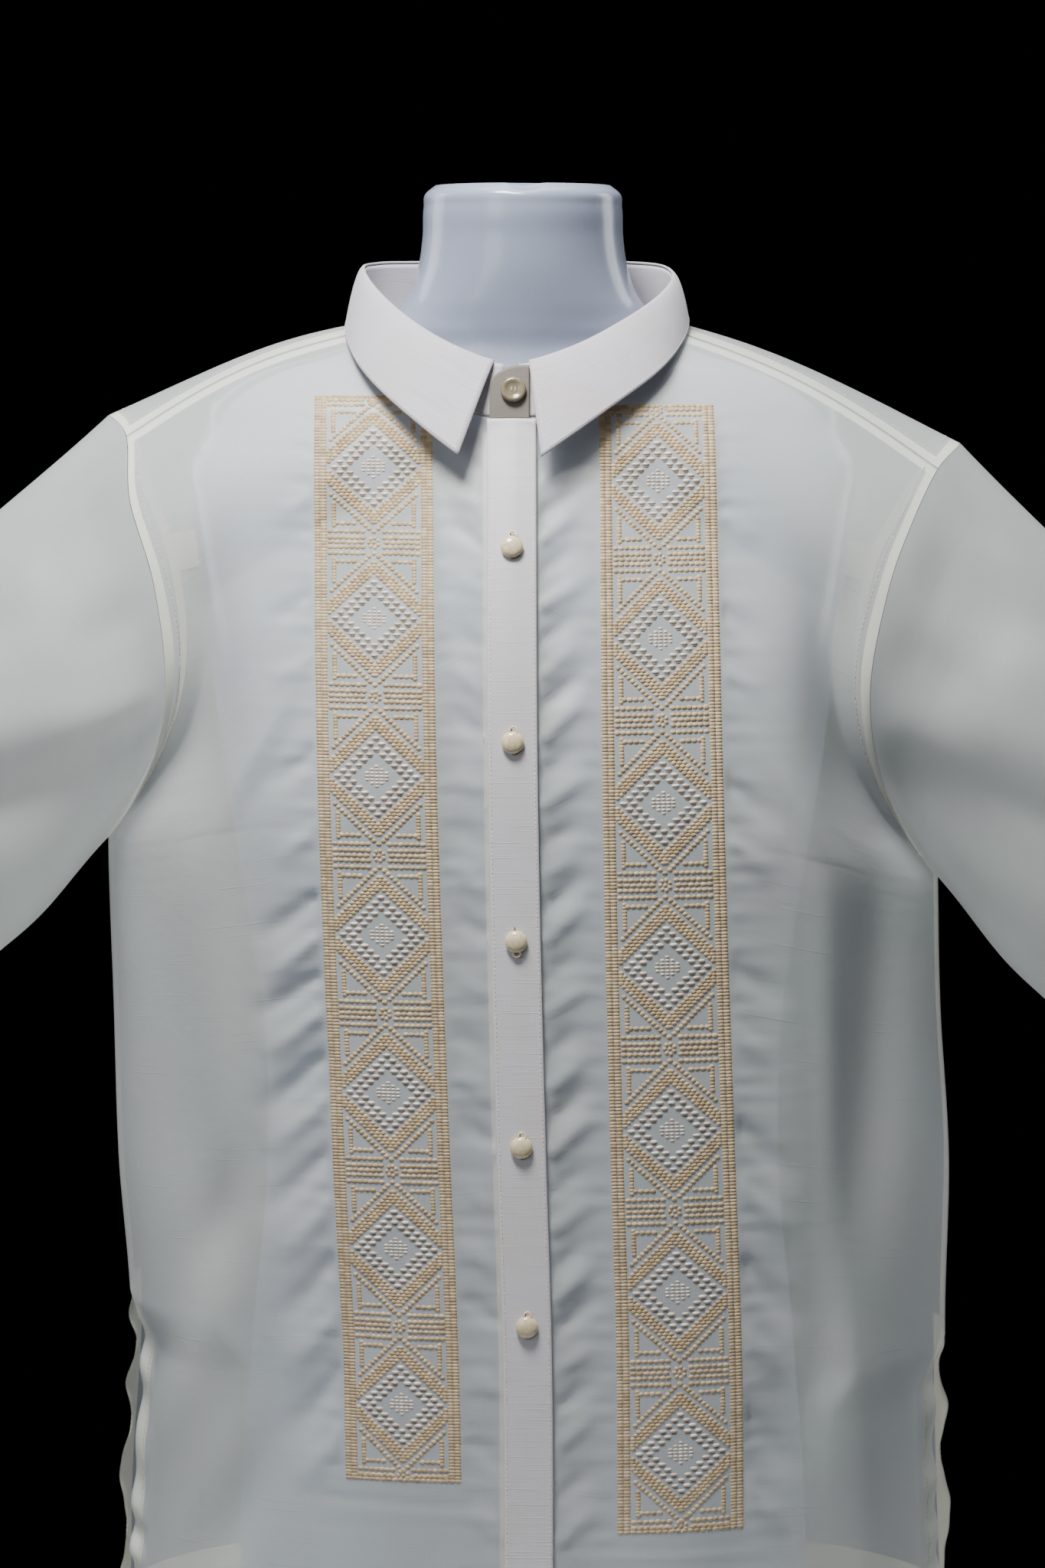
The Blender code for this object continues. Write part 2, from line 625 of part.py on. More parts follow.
def grid_mesh(name, grid, places, round_it=False, diamonds=False):
    """A mesh of grids whose corners each surface in places puts in space, joined where they meet."""
    whole = bmesh.new()
    for place in places:
        start = len(whole.verts)
        bmesh.ops.create_grid(whole, x_segments=grid[0], y_segments=grid[1], size=0.5)
        whole.verts.ensure_lookup_table()
        corners = whole.verts[start:]
        across = np.array([corner.co.x + 0.5 for corner in corners])
        up = np.array([corner.co.y + 0.5 for corner in corners])
        split_quads(whole, grid, diamonds)
        for corner, at in zip(corners, place(across, up)):
            corner.co = at
    if round_it or len(places) > 1:
        bmesh.ops.remove_doubles(whole, verts=whole.verts, dist=1e-5)
    bmesh.ops.recalc_face_normals(whole, faces=whole.faces)
    mesh = bpy.data.meshes.new(name)
    whole.to_mesh(mesh)
    whole.free()
    mesh.shade_smooth()
    return mesh


def split_quads(whole, grid, diamonds):
    """Halve a flat grid's squares, the same way on pieces that lie on each other.

    With diamonds, the cuts go round the middle of each repeat of the embroidery."""
    for face in [face for face in whole.faces if len(face.verts) == 4]:
        middle = face.calc_center_median()
        column = (middle.x + 0.5) * grid[0] - grid[0] / 2
        row = math.fmod((middle.y + 0.5) * grid[1], ROWS_A_REPEAT) - ROWS_A_REPEAT / 2
        rises = diamonds and column * row < 0
        key = 1 if rises else -1
        ends = sorted(face.verts, key=lambda corner: corner.co.x + key * corner.co.y)
        bmesh.utils.face_split(face, ends[0], ends[-1])


def cloth(name, grid, places, colour, round_it=False, thickness=WALL, diamonds=False):
    """A piece of cloth: an open surface with a wall."""
    mesh = grid_mesh(name, grid, places, round_it, diamonds)
    made = new_object(name, mesh, colour)
    wall = made.modifiers.new("wall", "SOLIDIFY")
    wall.thickness = thickness
    wall.offset = 0.0
    return made


def rows_between(counts, levels):
    """A piece's share upwards turned into its rows, so many to each span between the levels."""
    marks = np.concatenate([[0], np.cumsum(counts)])
    return lambda up: np.interp(up * marks[-1], marks, levels)


def make_front(name, side, inner_edge):
    """Half a front. Its inner edge lies under the placket, at a distance from the centre line."""
    counts = (SKIRT_ROWS, FRONT_ARM_ROWS)
    rows = rows_between(counts, (0.0, UNDERARM_ROW, 1.0))

    def place(across, up):
        v = np.minimum(rows(up), 1 - SHOULDER_INSET)
        edge = mixed(inner_edge, NECK_PARTING, step(0.76, FRONT_NECK_ROW, v))
        edge_u = edge / FRONT_RUN
        return body_surface(side, mixed(edge_u, 1.0, across), v, True)

    return cloth(name, (FRONT_COLUMNS, sum(counts)), [place], SHEER)


def make_back():
    """The back below the yoke, in one piece."""
    counts = (BACK_SKIRT_ROWS, BACK_ARM_ROWS)
    rows = rows_between(counts, (0.0, UNDERARM_ROW, YOKE_ROW))

    def half(side):
        return lambda across, up: body_surface(
            side, across, np.minimum(rows(up), YOKE_ROW - SHOULDER_INSET), False
        )

    return cloth("back", (BACK_COLUMNS, sum(counts)), [half(1), half(-1)], SHEER)


def make_yoke():
    """The yoke, over the shoulders from the back seam to the front shoulder seams."""

    def half(side):
        return lambda across, up: body_surface(
            side, across, np.minimum(mixed(YOKE_ROW, 1.0, up), 1 - SHOULDER_INSET), False
        )

    return cloth("yoke", (BACK_COLUMNS, YOKE_ARM_ROWS), [half(1), half(-1)], SHEER)


def make_sleeve(name, side):
    """A sleeve, whose lengthwise lines start at the ends of the front's, back's and yoke's rows."""
    counts = (FRONT_ARM_ROWS, BACK_ARM_ROWS, YOKE_ARM_ROWS)
    turn = 360.0 + SHOULDER_SEAM_ANGLE
    yoke_share = (YOKE_ROW - UNDERARM_ROW) / (1 - UNDERARM_ROW)
    levels = (SHOULDER_SEAM_ANGLE, 180.0, mixed(180.0, turn, yoke_share), turn)
    lines = rows_between(counts, levels)

    def place(across, up):
        return sleeve_surface(side, up, lines(across))

    return cloth(name, (sum(counts), SLEEVE_ROWS), [place], SHEER, round_it=True)


def make_collar():
    cloth("collar_stand", STAND_GRID, [stand_surface], OPAQUE, thickness=COLLAR_WALL)
    cloth("collar_leaf", LEAF_GRID, [leaf_surface], OPAQUE, thickness=COLLAR_WALL)


def make_plackets():
    grid = (2, round(SKIRT_ROWS * FRONT_NECK_ROW / UNDERARM_ROW))
    over = placket_surface(PLACKET_WIDTH / 2, 0.0, LAYER)
    cloth("placket", grid, [over], OPAQUE)
    under = placket_surface(BAND_WIDTH / 2, BAND_SHIFT, -LAYER, UNDER_BAND_DROP)
    cloth("button_band", grid, [under], OPAQUE)


def make_embroidery(name, side):
    """An embroidered band, thicker over the raised diamond in the middle of each repeat."""
    grid = (EMBROIDERY_COLUMNS, BAND_REPEATS * ROWS_A_REPEAT)
    mesh = grid_mesh(name, grid, [embroidery_surface(side)], diamonds=True)
    made = new_object(name, mesh, GOLD)
    thick = made.vertex_groups.new(name="thick")
    plain = WALL / (WALL + DIAMOND_RELIEF)
    for corner in range(len(mesh.vertices)):
        row, column = divmod(corner, grid[0] + 1)
        from_diamond = abs(row % ROWS_A_REPEAT - ROWS_A_REPEAT // 2)
        from_middle = abs(column - grid[0] // 2)
        thick.add([corner], 1.0 if from_diamond + from_middle <= 1 else plain, "REPLACE")
    wall = made.modifiers.new("wall", "SOLIDIFY")
    wall.thickness = WALL + DIAMOND_RELIEF
    wall.offset = 1.0
    wall.vertex_group = thick.name
    return made


def button_mesh(name, radius, height):
    """Half the section of a domed button, rim first, for a Screw round local Z."""
    profile = (
        (0.0, height),
        (radius * 0.55, height * 0.90),
        (radius * 0.90, height * 0.60),
        (radius, height * 0.38),
        (radius * 0.88, height * 0.12),
        (radius * 0.60, 0.0),
        (0.0, 0.0),
    )
    mesh = bpy.data.meshes.new(name)
    edges = [(i, i + 1) for i in range(len(profile) - 1)]
    mesh.from_pydata([(x, 0.0, z) for x, z in profile], edges, [])
    return mesh


def make_button(name, seat, way, radius, height):
    """A button whose back lies on its seat and whose dome faces the way given."""
    made = new_object(name, button_mesh(name, radius, height), PEARL)
    turn = made.modifiers.new("turn", "SCREW")
    turn.steps = turn.render_steps = BUTTON_STEPS
    turn.use_merge_vertices = True
    turn.merge_threshold = 0.00002
    turn.use_smooth_shade = True
    made.rotation_euler = way.to_track_quat("Z", "Y").to_euler()
    made.location = seat + way * BUTTON_SEAT
    return made


def make_buttons():
    over = placket_surface(PLACKET_WIDTH / 2, 0.0, LAYER + WALL / 2)
    span = NECK_FRONT_Z - 0.0005 - PLACKET_BOTTOM_Z
    for number, z in enumerate(BUTTON_HEIGHTS, start=1):
        up = np.array([(z - PLACKET_BOTTOM_Z + rise) / span for rise in (-0.006, 0.0, 0.006)])
        low, seat, high = (Vector(at) for at in over(np.full(3, 0.5), up))
        way = Vector((1, 0, 0)).cross(high - low).normalized()
        make_button(f"button_{number}", seat, way, BUTTON_RADIUS, BUTTON_HEIGHT)
    make_collar_button()


def make_collar_button():
    """The collar's own button, on the lap of the stand between the leaf's front edges."""
    low, high = (Vector(at) for at in stand_surface(np.full(2, 1.0), np.array([0.35, 0.65])))
    seat = (low + high) / 2
    seat.x = float(centre_x(np.array(seat.z))) + COLLAR_BUTTON_SHIFT
    way = Vector((1, 0, 0)).cross(high - low).normalized()
    seat = seat + way * (COLLAR_WALL / 2 + LAP_LAYER)
    make_button("collar_button", seat, way, COLLAR_BUTTON_RADIUS, COLLAR_BUTTON_HEIGHT)


def make_stand_tab():
    """The rounded end of the stand that laps over and carries the collar's button."""

    def place(across, up):
        side = np.full_like(across, 1.0)
        stand = stand_surface(side, up)
        x = centre_x(stand[..., 2]) + mixed(-TAB_REACH_OVER, TAB_REACH, across)
        # the free end's top corner is cut round
        from_round = np.clip((TAB_ROUND_FROM - across) / TAB_ROUND_FROM, 0, 1)
        round_off = (1 - np.sqrt(1 - from_round**2)) * TAB_ROUND
        share = up * TAB_TOP * (1 - round_off)
        stand = stand_surface(side, share)
        return points(x, stand[..., 1] - LAP_LAYER, stand[..., 2])

    return cloth("stand_tab", (8, 4), [place], OPAQUE)


def make_form():
    """The dress form: one closed, smooth body with a flat base, and a shallow notch over the neck."""
    mesh = grid_mesh("dress_form", FORM_GRID, [form_surface], round_it=True)
    skin = bmesh.new()
    skin.from_mesh(mesh)
    ends = [edge for edge in skin.edges if edge.is_boundary]
    bmesh.ops.holes_fill(skin, edges=ends, sides=0)
    bmesh.ops.recalc_face_normals(skin, faces=skin.faces)
    skin.to_mesh(mesh)
    skin.free()
    mesh.set_sharp_from_angle(angle=math.radians(40))
    form = new_object("dress_form", mesh, GLOSS)
    cut = form.modifiers.new("notch", "BOOLEAN")
    cut.operation = "DIFFERENCE"
    cut.object = make_notch_cutter()
    return form


def make_notch_cutter():
    shape = bmesh.new()
    length = 0.30
    bmesh.ops.create_cone(
        shape, cap_ends=True, segments=48, radius1=NOTCH_RADIUS, radius2=NOTCH_RADIUS, depth=length
    )
    bmesh.ops.rotate(shape, verts=shape.verts, matrix=Matrix.Rotation(math.pi / 2, 3, "X"))
    mesh = bpy.data.meshes.new("notch_cutter")
    shape.to_mesh(mesh)
    shape.free()
    cutter = bpy.data.objects.new("notch_cutter", mesh)
    cutters.objects.link(cutter)
    cutter.parent = stand_point
    cutter.location = (0.0, 0.0, FORM_TOP_Z + NOTCH_RADIUS - NOTCH_DEPTH)
    cutter.hide_render = True
    cutter.display_type = "WIRE"
    return cutter


for old in list(bpy.data.objects):
    bpy.data.objects.remove(old)
collection = bpy.data.collections.new("barong_tagalog")
cutters = bpy.data.collections.new("cutters")
bpy.context.scene.collection.children.link(collection)
bpy.context.scene.collection.children.link(cutters)
stand_point = bpy.data.objects.new("stand_point", None)
collection.objects.link(stand_point)
stand_point.location = (0.0, BOX_MIDDLE_Y, 0.0)

make_form()
make_front("front_left", 1, PANEL_UNDERLAP)
make_front("front_right", -1, 0.0)
make_back()
make_yoke()
make_sleeve("sleeve_left", 1)
make_sleeve("sleeve_right", -1)
make_collar()
make_stand_tab()
make_plackets()
make_embroidery("embroidery_left", 1)
make_embroidery("embroidery_right", -1)
make_buttons()
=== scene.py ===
"""A short-sleeved barong tagalog shirt on its dress form, in sheer cloth with embroidered bands.

Metres, +Z up, the front faces -Y. Left and right are the wearer's, so left is +X.
The tables and surfaces are those of the part's solids. Here they are divided finely, given the small
pulls and ripples of crisp cloth, and sewn, embroidered and buttoned.
"""

import math
from collections import namedtuple

import bmesh
import bpy
import numpy as np
from mathutils import Matrix, Vector


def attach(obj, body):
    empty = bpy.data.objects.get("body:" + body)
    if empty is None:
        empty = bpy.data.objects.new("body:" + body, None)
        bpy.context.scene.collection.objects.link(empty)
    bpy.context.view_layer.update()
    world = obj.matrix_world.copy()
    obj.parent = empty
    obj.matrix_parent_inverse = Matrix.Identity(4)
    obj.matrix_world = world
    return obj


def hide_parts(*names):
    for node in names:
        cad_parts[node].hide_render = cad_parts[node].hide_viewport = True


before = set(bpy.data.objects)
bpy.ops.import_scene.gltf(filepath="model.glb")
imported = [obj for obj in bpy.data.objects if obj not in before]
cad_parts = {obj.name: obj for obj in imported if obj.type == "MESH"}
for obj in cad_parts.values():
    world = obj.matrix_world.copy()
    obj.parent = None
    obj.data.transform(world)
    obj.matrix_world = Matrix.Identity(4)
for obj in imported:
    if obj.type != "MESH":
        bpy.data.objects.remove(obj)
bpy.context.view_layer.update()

bl_info = {
    "name": "Barong Tagalog Shirt",
    "version": (1, 0, 0),
    "blender": (4, 5, 0),
    "location": "3D View > Sidebar > Barong",
    "description": "Builds a sheer embroidered shirt on a dress form, and its stage",
    "category": "Add Mesh",
}

# Driving sizes of the shirt
HEM_Z = 0.090
NECK_FRONT_Z = 0.796
NECK_BACK_Z = 0.848
WALL = 0.0012
SEAM_GAP = 0.0006
LAYER = 0.0021
PLACKET_WIDTH = 0.0265
PLACKET_BOTTOM_Z = 0.091
BAND_WIDTH = 0.0265
BAND_SHIFT = -0.0025
NECK_PARTING = 0.0015
UNDER_BAND_DROP = 0.007
SLEEVE_HEM_LENGTH = 0.0915
SLEEVE_HEM_DEPTH = 0.054
ARMHOLE_GAP = 0.0004
UNDERARM_PARTING = 0.0006
SLIT_INSET = 0.019
SLIT_FORWARD = 0.026
SLIT_EASE = 0.030
SLIT_TOP = {1: 0.270, -1: 0.297}
SHOULDER_LIFT = 0.0085
SHOULDER_INSET = 0.00015

# The embroidered bands
BAND_REPEATS = 7

# The collar
COLLAR_SLOPE_OUT = 0.0019
COLLAR_WALL = 0.0014
STAND_SEAM_RISE = -0.0004
STAND_SEAM_IN = 0.0006
STAND_START = 3.0
LEAF_START = 7.0
TAB_REACH_OVER = 0.0120
TAB_REACH = 0.0097
TAB_TOP = 0.985
TAB_ROUND = 0.42
TAB_ROUND_FROM = 0.85
TAB_TUCK = 0.0008
LAP_LAYER = 0.0017

# The buttons
BUTTON_RADIUS = 0.0061
BUTTON_HEIGHT = 0.0042
COLLAR_BUTTON_RADIUS = 0.0070
COLLAR_BUTTON_HEIGHT = 0.0028
COLLAR_BUTTON_SHIFT = 0.001
BUTTON_SEAT = 0.0003
STIFF_SHARE = 0.25
BACK_ROW_BEND = 1.8
CREST_ROW_BEND = 1.15

# The dress form
FORM_MIDDLE_X = -0.0013
FORM_HEART = np.array((0.0, 0.0, 0.60))

# Where the rows of a panel leave the side seam for the armhole, and the centre line for the neckline
UNDERARM_ROW = 0.60
FRONT_RUN = 0.30
ROUNDING = 1e-6
FRONT_NECK_ROW = UNDERARM_ROW + (1 - UNDERARM_ROW) * 8 / 14
BACK_NECK_ROW = 0.93
YOKE_ROW = 0.80
SHOULDER_SEAM_ANGLE = 25.0
NECK_SEAM_ANGLE = 88.0

# The middle of the box that the part fills lies this far in front of the side seams
BOX_MIDDLE_Y = 0.0145

# The shirt's body, hem to chest: half widths and depths from the side seams' plane
Section = namedtuple("Section", "z left right front back")
BODY = (
    Section(0.090, 0.250, 0.237, 0.150, 0.122),
    Section(0.170, 0.246, 0.235, 0.148, 0.119),
    Section(0.282, 0.243, 0.228, 0.145, 0.114),
    Section(0.373, 0.244, 0.234, 0.142, 0.109),
    Section(0.463, 0.238, 0.236, 0.139, 0.105),
    Section(0.545, 0.236, 0.238, 0.136, 0.104),
    Section(0.610, 0.236, 0.238, 0.133, 0.106),
    Section(0.670, 0.236, 0.238, 0.126, 0.107),
    Section(0.720, 0.236, 0.238, 0.115, 0.103),
    Section(0.760, 0.236, 0.238, 0.100, 0.094),
    Section(0.796, 0.236, 0.238, 0.082, 0.084),
    Section(0.848, 0.236, 0.238, 0.060, 0.064),
)

# The centre front wanders sideways on its way down
Lean = namedtuple("Lean", "z x")
CENTRE_FRONT = (
    Lean(0.090, 0.002),
    Lean(0.300, 0.001),
    Lean(0.400, -0.002),
    Lean(0.600, -0.0065),
    Lean(0.800, -0.0075),
)

# The armhole seam, by the angle from the shoulder's top through the front, underarm and back
Arm = namedtuple("Arm", "angle y x_left z_left x_right z_right")
ARMHOLE = (
    Arm(0, -0.002, 0.246, 0.780, 0.235, 0.796),
    Arm(25, -0.035, 0.230, 0.767, 0.222, 0.785),
    Arm(50, -0.062, 0.214, 0.740, 0.218, 0.752),
    Arm(80, -0.083, 0.198, 0.700, 0.203, 0.705),
    Arm(105, -0.087, 0.189, 0.650, 0.197, 0.657),
    Arm(130, -0.072, 0.195, 0.605, 0.203, 0.618),
    Arm(155, -0.040, 0.214, 0.565, 0.221, 0.582),
    Arm(180, 0.000, 0.236, 0.533, 0.238, 0.556),
    Arm(205, 0.040, 0.215, 0.565, 0.222, 0.582),
    Arm(230, 0.070, 0.201, 0.607, 0.207, 0.620),
    Arm(255, 0.084, 0.198, 0.652, 0.204, 0.660),
    Arm(280, 0.081, 0.206, 0.702, 0.210, 0.708),
    Arm(310, 0.060, 0.223, 0.742, 0.224, 0.755),
    Arm(335, 0.031, 0.238, 0.770, 0.232, 0.787),
)

# The neckline, where the collar is sewn on, by the angle from the front round to the back
Neck = namedtuple("Neck", "angle x y z")
NECKLINE = (
    Neck(0, 0.000, -0.082, 0.796),
    Neck(20, 0.030, -0.077, 0.800),
    Neck(45, 0.062, -0.060, 0.815),
    Neck(70, 0.084, -0.034, 0.832),
    Neck(88, 0.091, -0.010, 0.842),
    Neck(110, 0.087, 0.020, 0.848),
    Neck(140, 0.061, 0.049, 0.849),
    Neck(180, 0.000, 0.064, 0.848),
)

# The collar's fold and its outer edge, by the same angle: the front edges start at 7 degrees
Fold = namedtuple("Fold", "angle x y z_left z_right")
FOLD_LINE = (
    Fold(0, 0.000, -0.0740, 0.825, 0.825),
    Fold(7, 0.0095, -0.0730, 0.826, 0.826),
    Fold(20, 0.029, -0.0690, 0.832, 0.833),
    Fold(45, 0.059, -0.0510, 0.847, 0.850),
    Fold(70, 0.080, -0.0230, 0.862, 0.868),
    Fold(88, 0.0865, 0.002, 0.871, 0.877),
    Fold(110, 0.082, 0.027, 0.878, 0.880),
    Fold(140, 0.057, 0.048, 0.881, 0.881),
    Fold(180, 0.000, 0.058, 0.882, 0.882),
)
Edge = namedtuple("Edge", "angle x_left x_right y z_left z_right")
LEAF_EDGE = (
    Edge(7, 0.016, 0.029, -0.1030, 0.776, 0.777),
    Edge(14, 0.032, 0.040, -0.0965, 0.787, 0.785),
    Edge(25, 0.052, 0.058, -0.0860, 0.801, 0.799),
    Edge(45, 0.077, 0.079, -0.0650, 0.819, 0.817),
    Edge(70, 0.0910, 0.0930, -0.0330, 0.835, 0.835),
    Edge(88, 0.0955, 0.0970, -0.0040, 0.8455, 0.8455),
    Edge(110, 0.0925, 0.0935, 0.026, 0.853, 0.853),
    Edge(140, 0.0670, 0.0670, 0.057, 0.853, 0.853),
    Edge(180, 0.000, 0.000, 0.0735, 0.852, 0.852),
)

# The sleeves' hems in the front view: the underarm end and the top end of each
Hem = namedtuple("Hem", "under_x under_z top_x top_z")
SLEEVE_HEMS = {1: Hem(0.3115, 0.449, 0.4440, 0.575), -1: Hem(0.3145, 0.4775, 0.4400, 0.611)}

# The embroidered bands' middles and ends: distance from the centre front at the top and bottom
Band = namedtuple("Band", "top_x bottom_x top_z bottom_z")
EMBROIDERY = {1: Band(0.0795, 0.0835, 0.803, 0.190), -1: Band(0.0760, 0.0685, 0.808, 0.219)}

# The largest folds: the middle in the front view, the way it runs from level, its half length,
# its half width and how far it stands out, or in where the depth is negative
Crease = namedtuple("Crease", "x z runs half_length half_width depth")
FRONT_CREASES = {
    1: (
        Crease(0.172, 0.680, 98, 0.110, 0.021, -0.0085),
        Crease(0.145, 0.560, 92, 0.170, 0.024, 0.0050),
        Crease(0.195, 0.470, 86, 0.120, 0.022, -0.0070),
        Crease(0.160, 0.330, 100, 0.130, 0.026, 0.0060),
        Crease(0.125, 0.200, 78, 0.100, 0.020, -0.0060),
        Crease(0.190, 0.190, 96, 0.110, 0.020, 0.0050),
        Crease(0.035, 0.180, 84, 0.090, 0.014, -0.0035),
    ),
    -1: (
        Crease(-0.180, 0.675, 84, 0.110, 0.021, -0.0090),
        Crease(-0.145, 0.560, 90, 0.180, 0.022, 0.0055),
        Crease(-0.200, 0.470, 95, 0.120, 0.022, -0.0070),
        Crease(-0.140, 0.400, 58, 0.080, 0.016, -0.0050),
        Crease(-0.165, 0.300, 62, 0.110, 0.019, 0.0060),
        Crease(-0.120, 0.255, 60, 0.110, 0.017, -0.0070),
        Crease(-0.185, 0.170, 80, 0.090, 0.022, 0.0050),
        Crease(-0.040, 0.180, 62, 0.070, 0.015, -0.0045),
    ),
}
BACK_CREASES = (
    Crease(0.175, 0.660, 82, 0.110, 0.022, -0.0080),
    Crease(-0.178, 0.660, 98, 0.110, 0.022, -0.0080),
    Crease(0.120, 0.520, 88, 0.180, 0.024, 0.0060),
    Crease(-0.115, 0.500, 93, 0.180, 0.025, 0.0060),
    Crease(0.060, 0.420, 96, 0.200, 0.022, -0.0060),
    Crease(-0.055, 0.390, 86, 0.190, 0.022, -0.0060),
    Crease(0.000, 0.300, 90, 0.190, 0.020, 0.0050),
    Crease(0.175, 0.280, 80, 0.150, 0.024, -0.0065),
    Crease(-0.175, 0.300, 99, 0.150, 0.024, -0.0060),
)

# Sleeve folds: where they lie along the sleeve and round it, their half length and half width there,
# and how far they stand out
Pucker = namedtuple("Pucker", "along angle half_along half_angle slant depth")
SLEEVE_CREASES = {
    1: (
        Pucker(0.15, 62, 0.16, 17, 30, -0.0050),
        Pucker(0.45, 112, 0.35, 20, -45, -0.0070),
        Pucker(0.60, 60, 0.35, 22, -30, 0.0055),
        Pucker(0.50, 250, 0.40, 22, 30, -0.0065),
        Pucker(0.60, 305, 0.35, 22, 20, 0.0050),
    ),
    -1: (
        Pucker(0.12, 45, 0.14, 15, 20, -0.0040),
        Pucker(0.40, 118, 0.40, 20, -50, -0.0080),
        Pucker(0.55, 70, 0.40, 24, -40, 0.0065),
        Pucker(0.50, 248, 0.40, 22, 35, -0.0065),
        Pucker(0.60, 300, 0.35, 22, 20, 0.0050),
    ),
}

# The dress form, base to neck: half width, the front's and back's depths, and how square it is
Round = namedtuple("Round", "z half front back power")
FORM = (
    Round(0.000, 0.158, 0.104, 0.090, 2.3),
    Round(0.012, 0.164, 0.109, 0.095, 2.3),
    Round(0.060, 0.167, 0.111, 0.099, 2.3),
    Round(0.160, 0.165, 0.109, 0.103, 2.3),
    Round(0.260, 0.158, 0.104, 0.099, 2.3),
    Round(0.370, 0.148, 0.100, 0.088, 2.3),
    Round(0.450, 0.149, 0.103, 0.084, 2.3),
    Round(0.530, 0.160, 0.112, 0.086, 2.4),
    Round(0.600, 0.171, 0.114, 0.091, 2.4),
    Round(0.660, 0.178, 0.107, 0.093, 2.4),
    Round(0.710, 0.184, 0.096, 0.090, 2.3),
    Round(0.745, 0.188, 0.085, 0.084, 2.2),
    Round(0.770, 0.190, 0.077, 0.077, 2.0),
    Round(0.790, 0.180, 0.070, 0.070, 1.85),
    Round(0.805, 0.1760, 0.063, 0.063, 1.7),
    Round(0.820, 0.1516, 0.057, 0.056, 1.6),
    Round(0.833, 0.1040, 0.0535, 0.052, 1.6),
    Round(0.846, 0.0810, 0.055, 0.052, 1.8),
    Round(0.860, 0.067, 0.057, 0.051, 2.0),
    Round(0.876, 0.060, 0.059, 0.050, 2.0),
    Round(0.895, 0.0567, 0.060, 0.048, 2.0),
    Round(0.912, 0.0560, 0.061, 0.047, 2.0),
    Round(0.920, 0.0545, 0.0595, 0.0455, 2.0),
    Round(0.924, 0.0495, 0.0545, 0.0405, 2.0),
)
BODY_POWER = 2.35

# Heights of the buttons on the placket
BUTTON_HEIGHTS = (0.727, 0.624, 0.517, 0.405, 0.3065)

# The small pulls that run from the placket and from the outer edges of the bands, in millimetres:
# the height where each starts, the way it runs from level, its length, width and how far it stands out
Pull = namedtuple("Pull", "height runs length width depth")
PLACKET_PULLS = {
    1: (
        Pull(775, 20, 34, 9, -1.3),
        Pull(760, 27, 30, 8, 1.4),
        Pull(743, 33, 38, 10, -1.9),
        Pull(729, 38, 36, 8, 1.8),
        Pull(712, 36, 34, 9, -1.4),
        Pull(695, 30, 40, 10, 1.9),
        Pull(676, 35, 33, 9, -1.6),
        Pull(657, 42, 36, 9, 1.5),
        Pull(640, 40, 42, 9, -2.1),
        Pull(623, 44, 44, 9, 2.2),
        Pull(604, 41, 34, 10, -1.5),
        Pull(588, 36, 39, 9, 2.0),
        Pull(567, 31, 33, 10, -1.7),
        Pull(549, 38, 30, 8, 1.2),
        Pull(531, 42, 40, 9, -1.9),
        Pull(514, 45, 41, 9, 2.0),
        Pull(494, 38, 33, 10, -1.3),
        Pull(476, 34, 36, 8, 1.5),
        Pull(452, 41, 32, 10, -1.6),
        Pull(433, 43, 38, 9, 1.7),
        Pull(415, 45, 40, 9, -2.0),
        Pull(399, 42, 42, 9, 2.1),
        Pull(378, 35, 32, 9, -1.2),
        Pull(357, 38, 36, 10, 1.5),
        Pull(335, 42, 30, 9, -1.5),
        Pull(317, 46, 40, 9, 1.9),
        Pull(300, 43, 42, 10, -2.0),
        Pull(279, 35, 33, 9, 1.3),
        Pull(258, 40, 36, 10, -1.5),
        Pull(236, 44, 38, 10, 1.4),
        Pull(209, 38, 34, 11, -1.3),
        Pull(183, 44, 40, 11, 1.5),
        Pull(150, 40, 34, 12, -1.2),
        Pull(121, 36, 36, 12, 1.1),
    ),
    -1: (
        Pull(768, 158, 26, 9, -0.9),
        Pull(745, 150, 30, 10, 1.0),
        Pull(726, 142, 34, 9, -1.3),
        Pull(702, 150, 26, 10, 0.8),
        Pull(672, 145, 30, 11, -1.0),
        Pull(646, 132, 36, 10, 1.5),
        Pull(624, 138, 34, 10, -1.6),
        Pull(596, 150, 26, 11, 0.9),
        Pull(566, 144, 30, 12, -1.0),
        Pull(539, 134, 34, 11, 1.3),
        Pull(516, 140, 33, 10, -1.4),
        Pull(486, 150, 26, 11, 0.9),
        Pull(452, 142, 32, 12, -1.1),
        Pull(427, 134, 34, 11, 1.2),
        Pull(404, 140, 32, 10, -1.4),
        Pull(371, 150, 26, 12, 0.8),
        Pull(334, 138, 34, 12, 1.2),
        Pull(306, 142, 32, 11, -1.5),
        Pull(268, 148, 26, 12, 0.9),
        Pull(228, 140, 32, 13, -1.1),
        Pull(188, 136, 30, 13, 1.1),
        Pull(148, 144, 30, 13, -1.0),
    ),
}
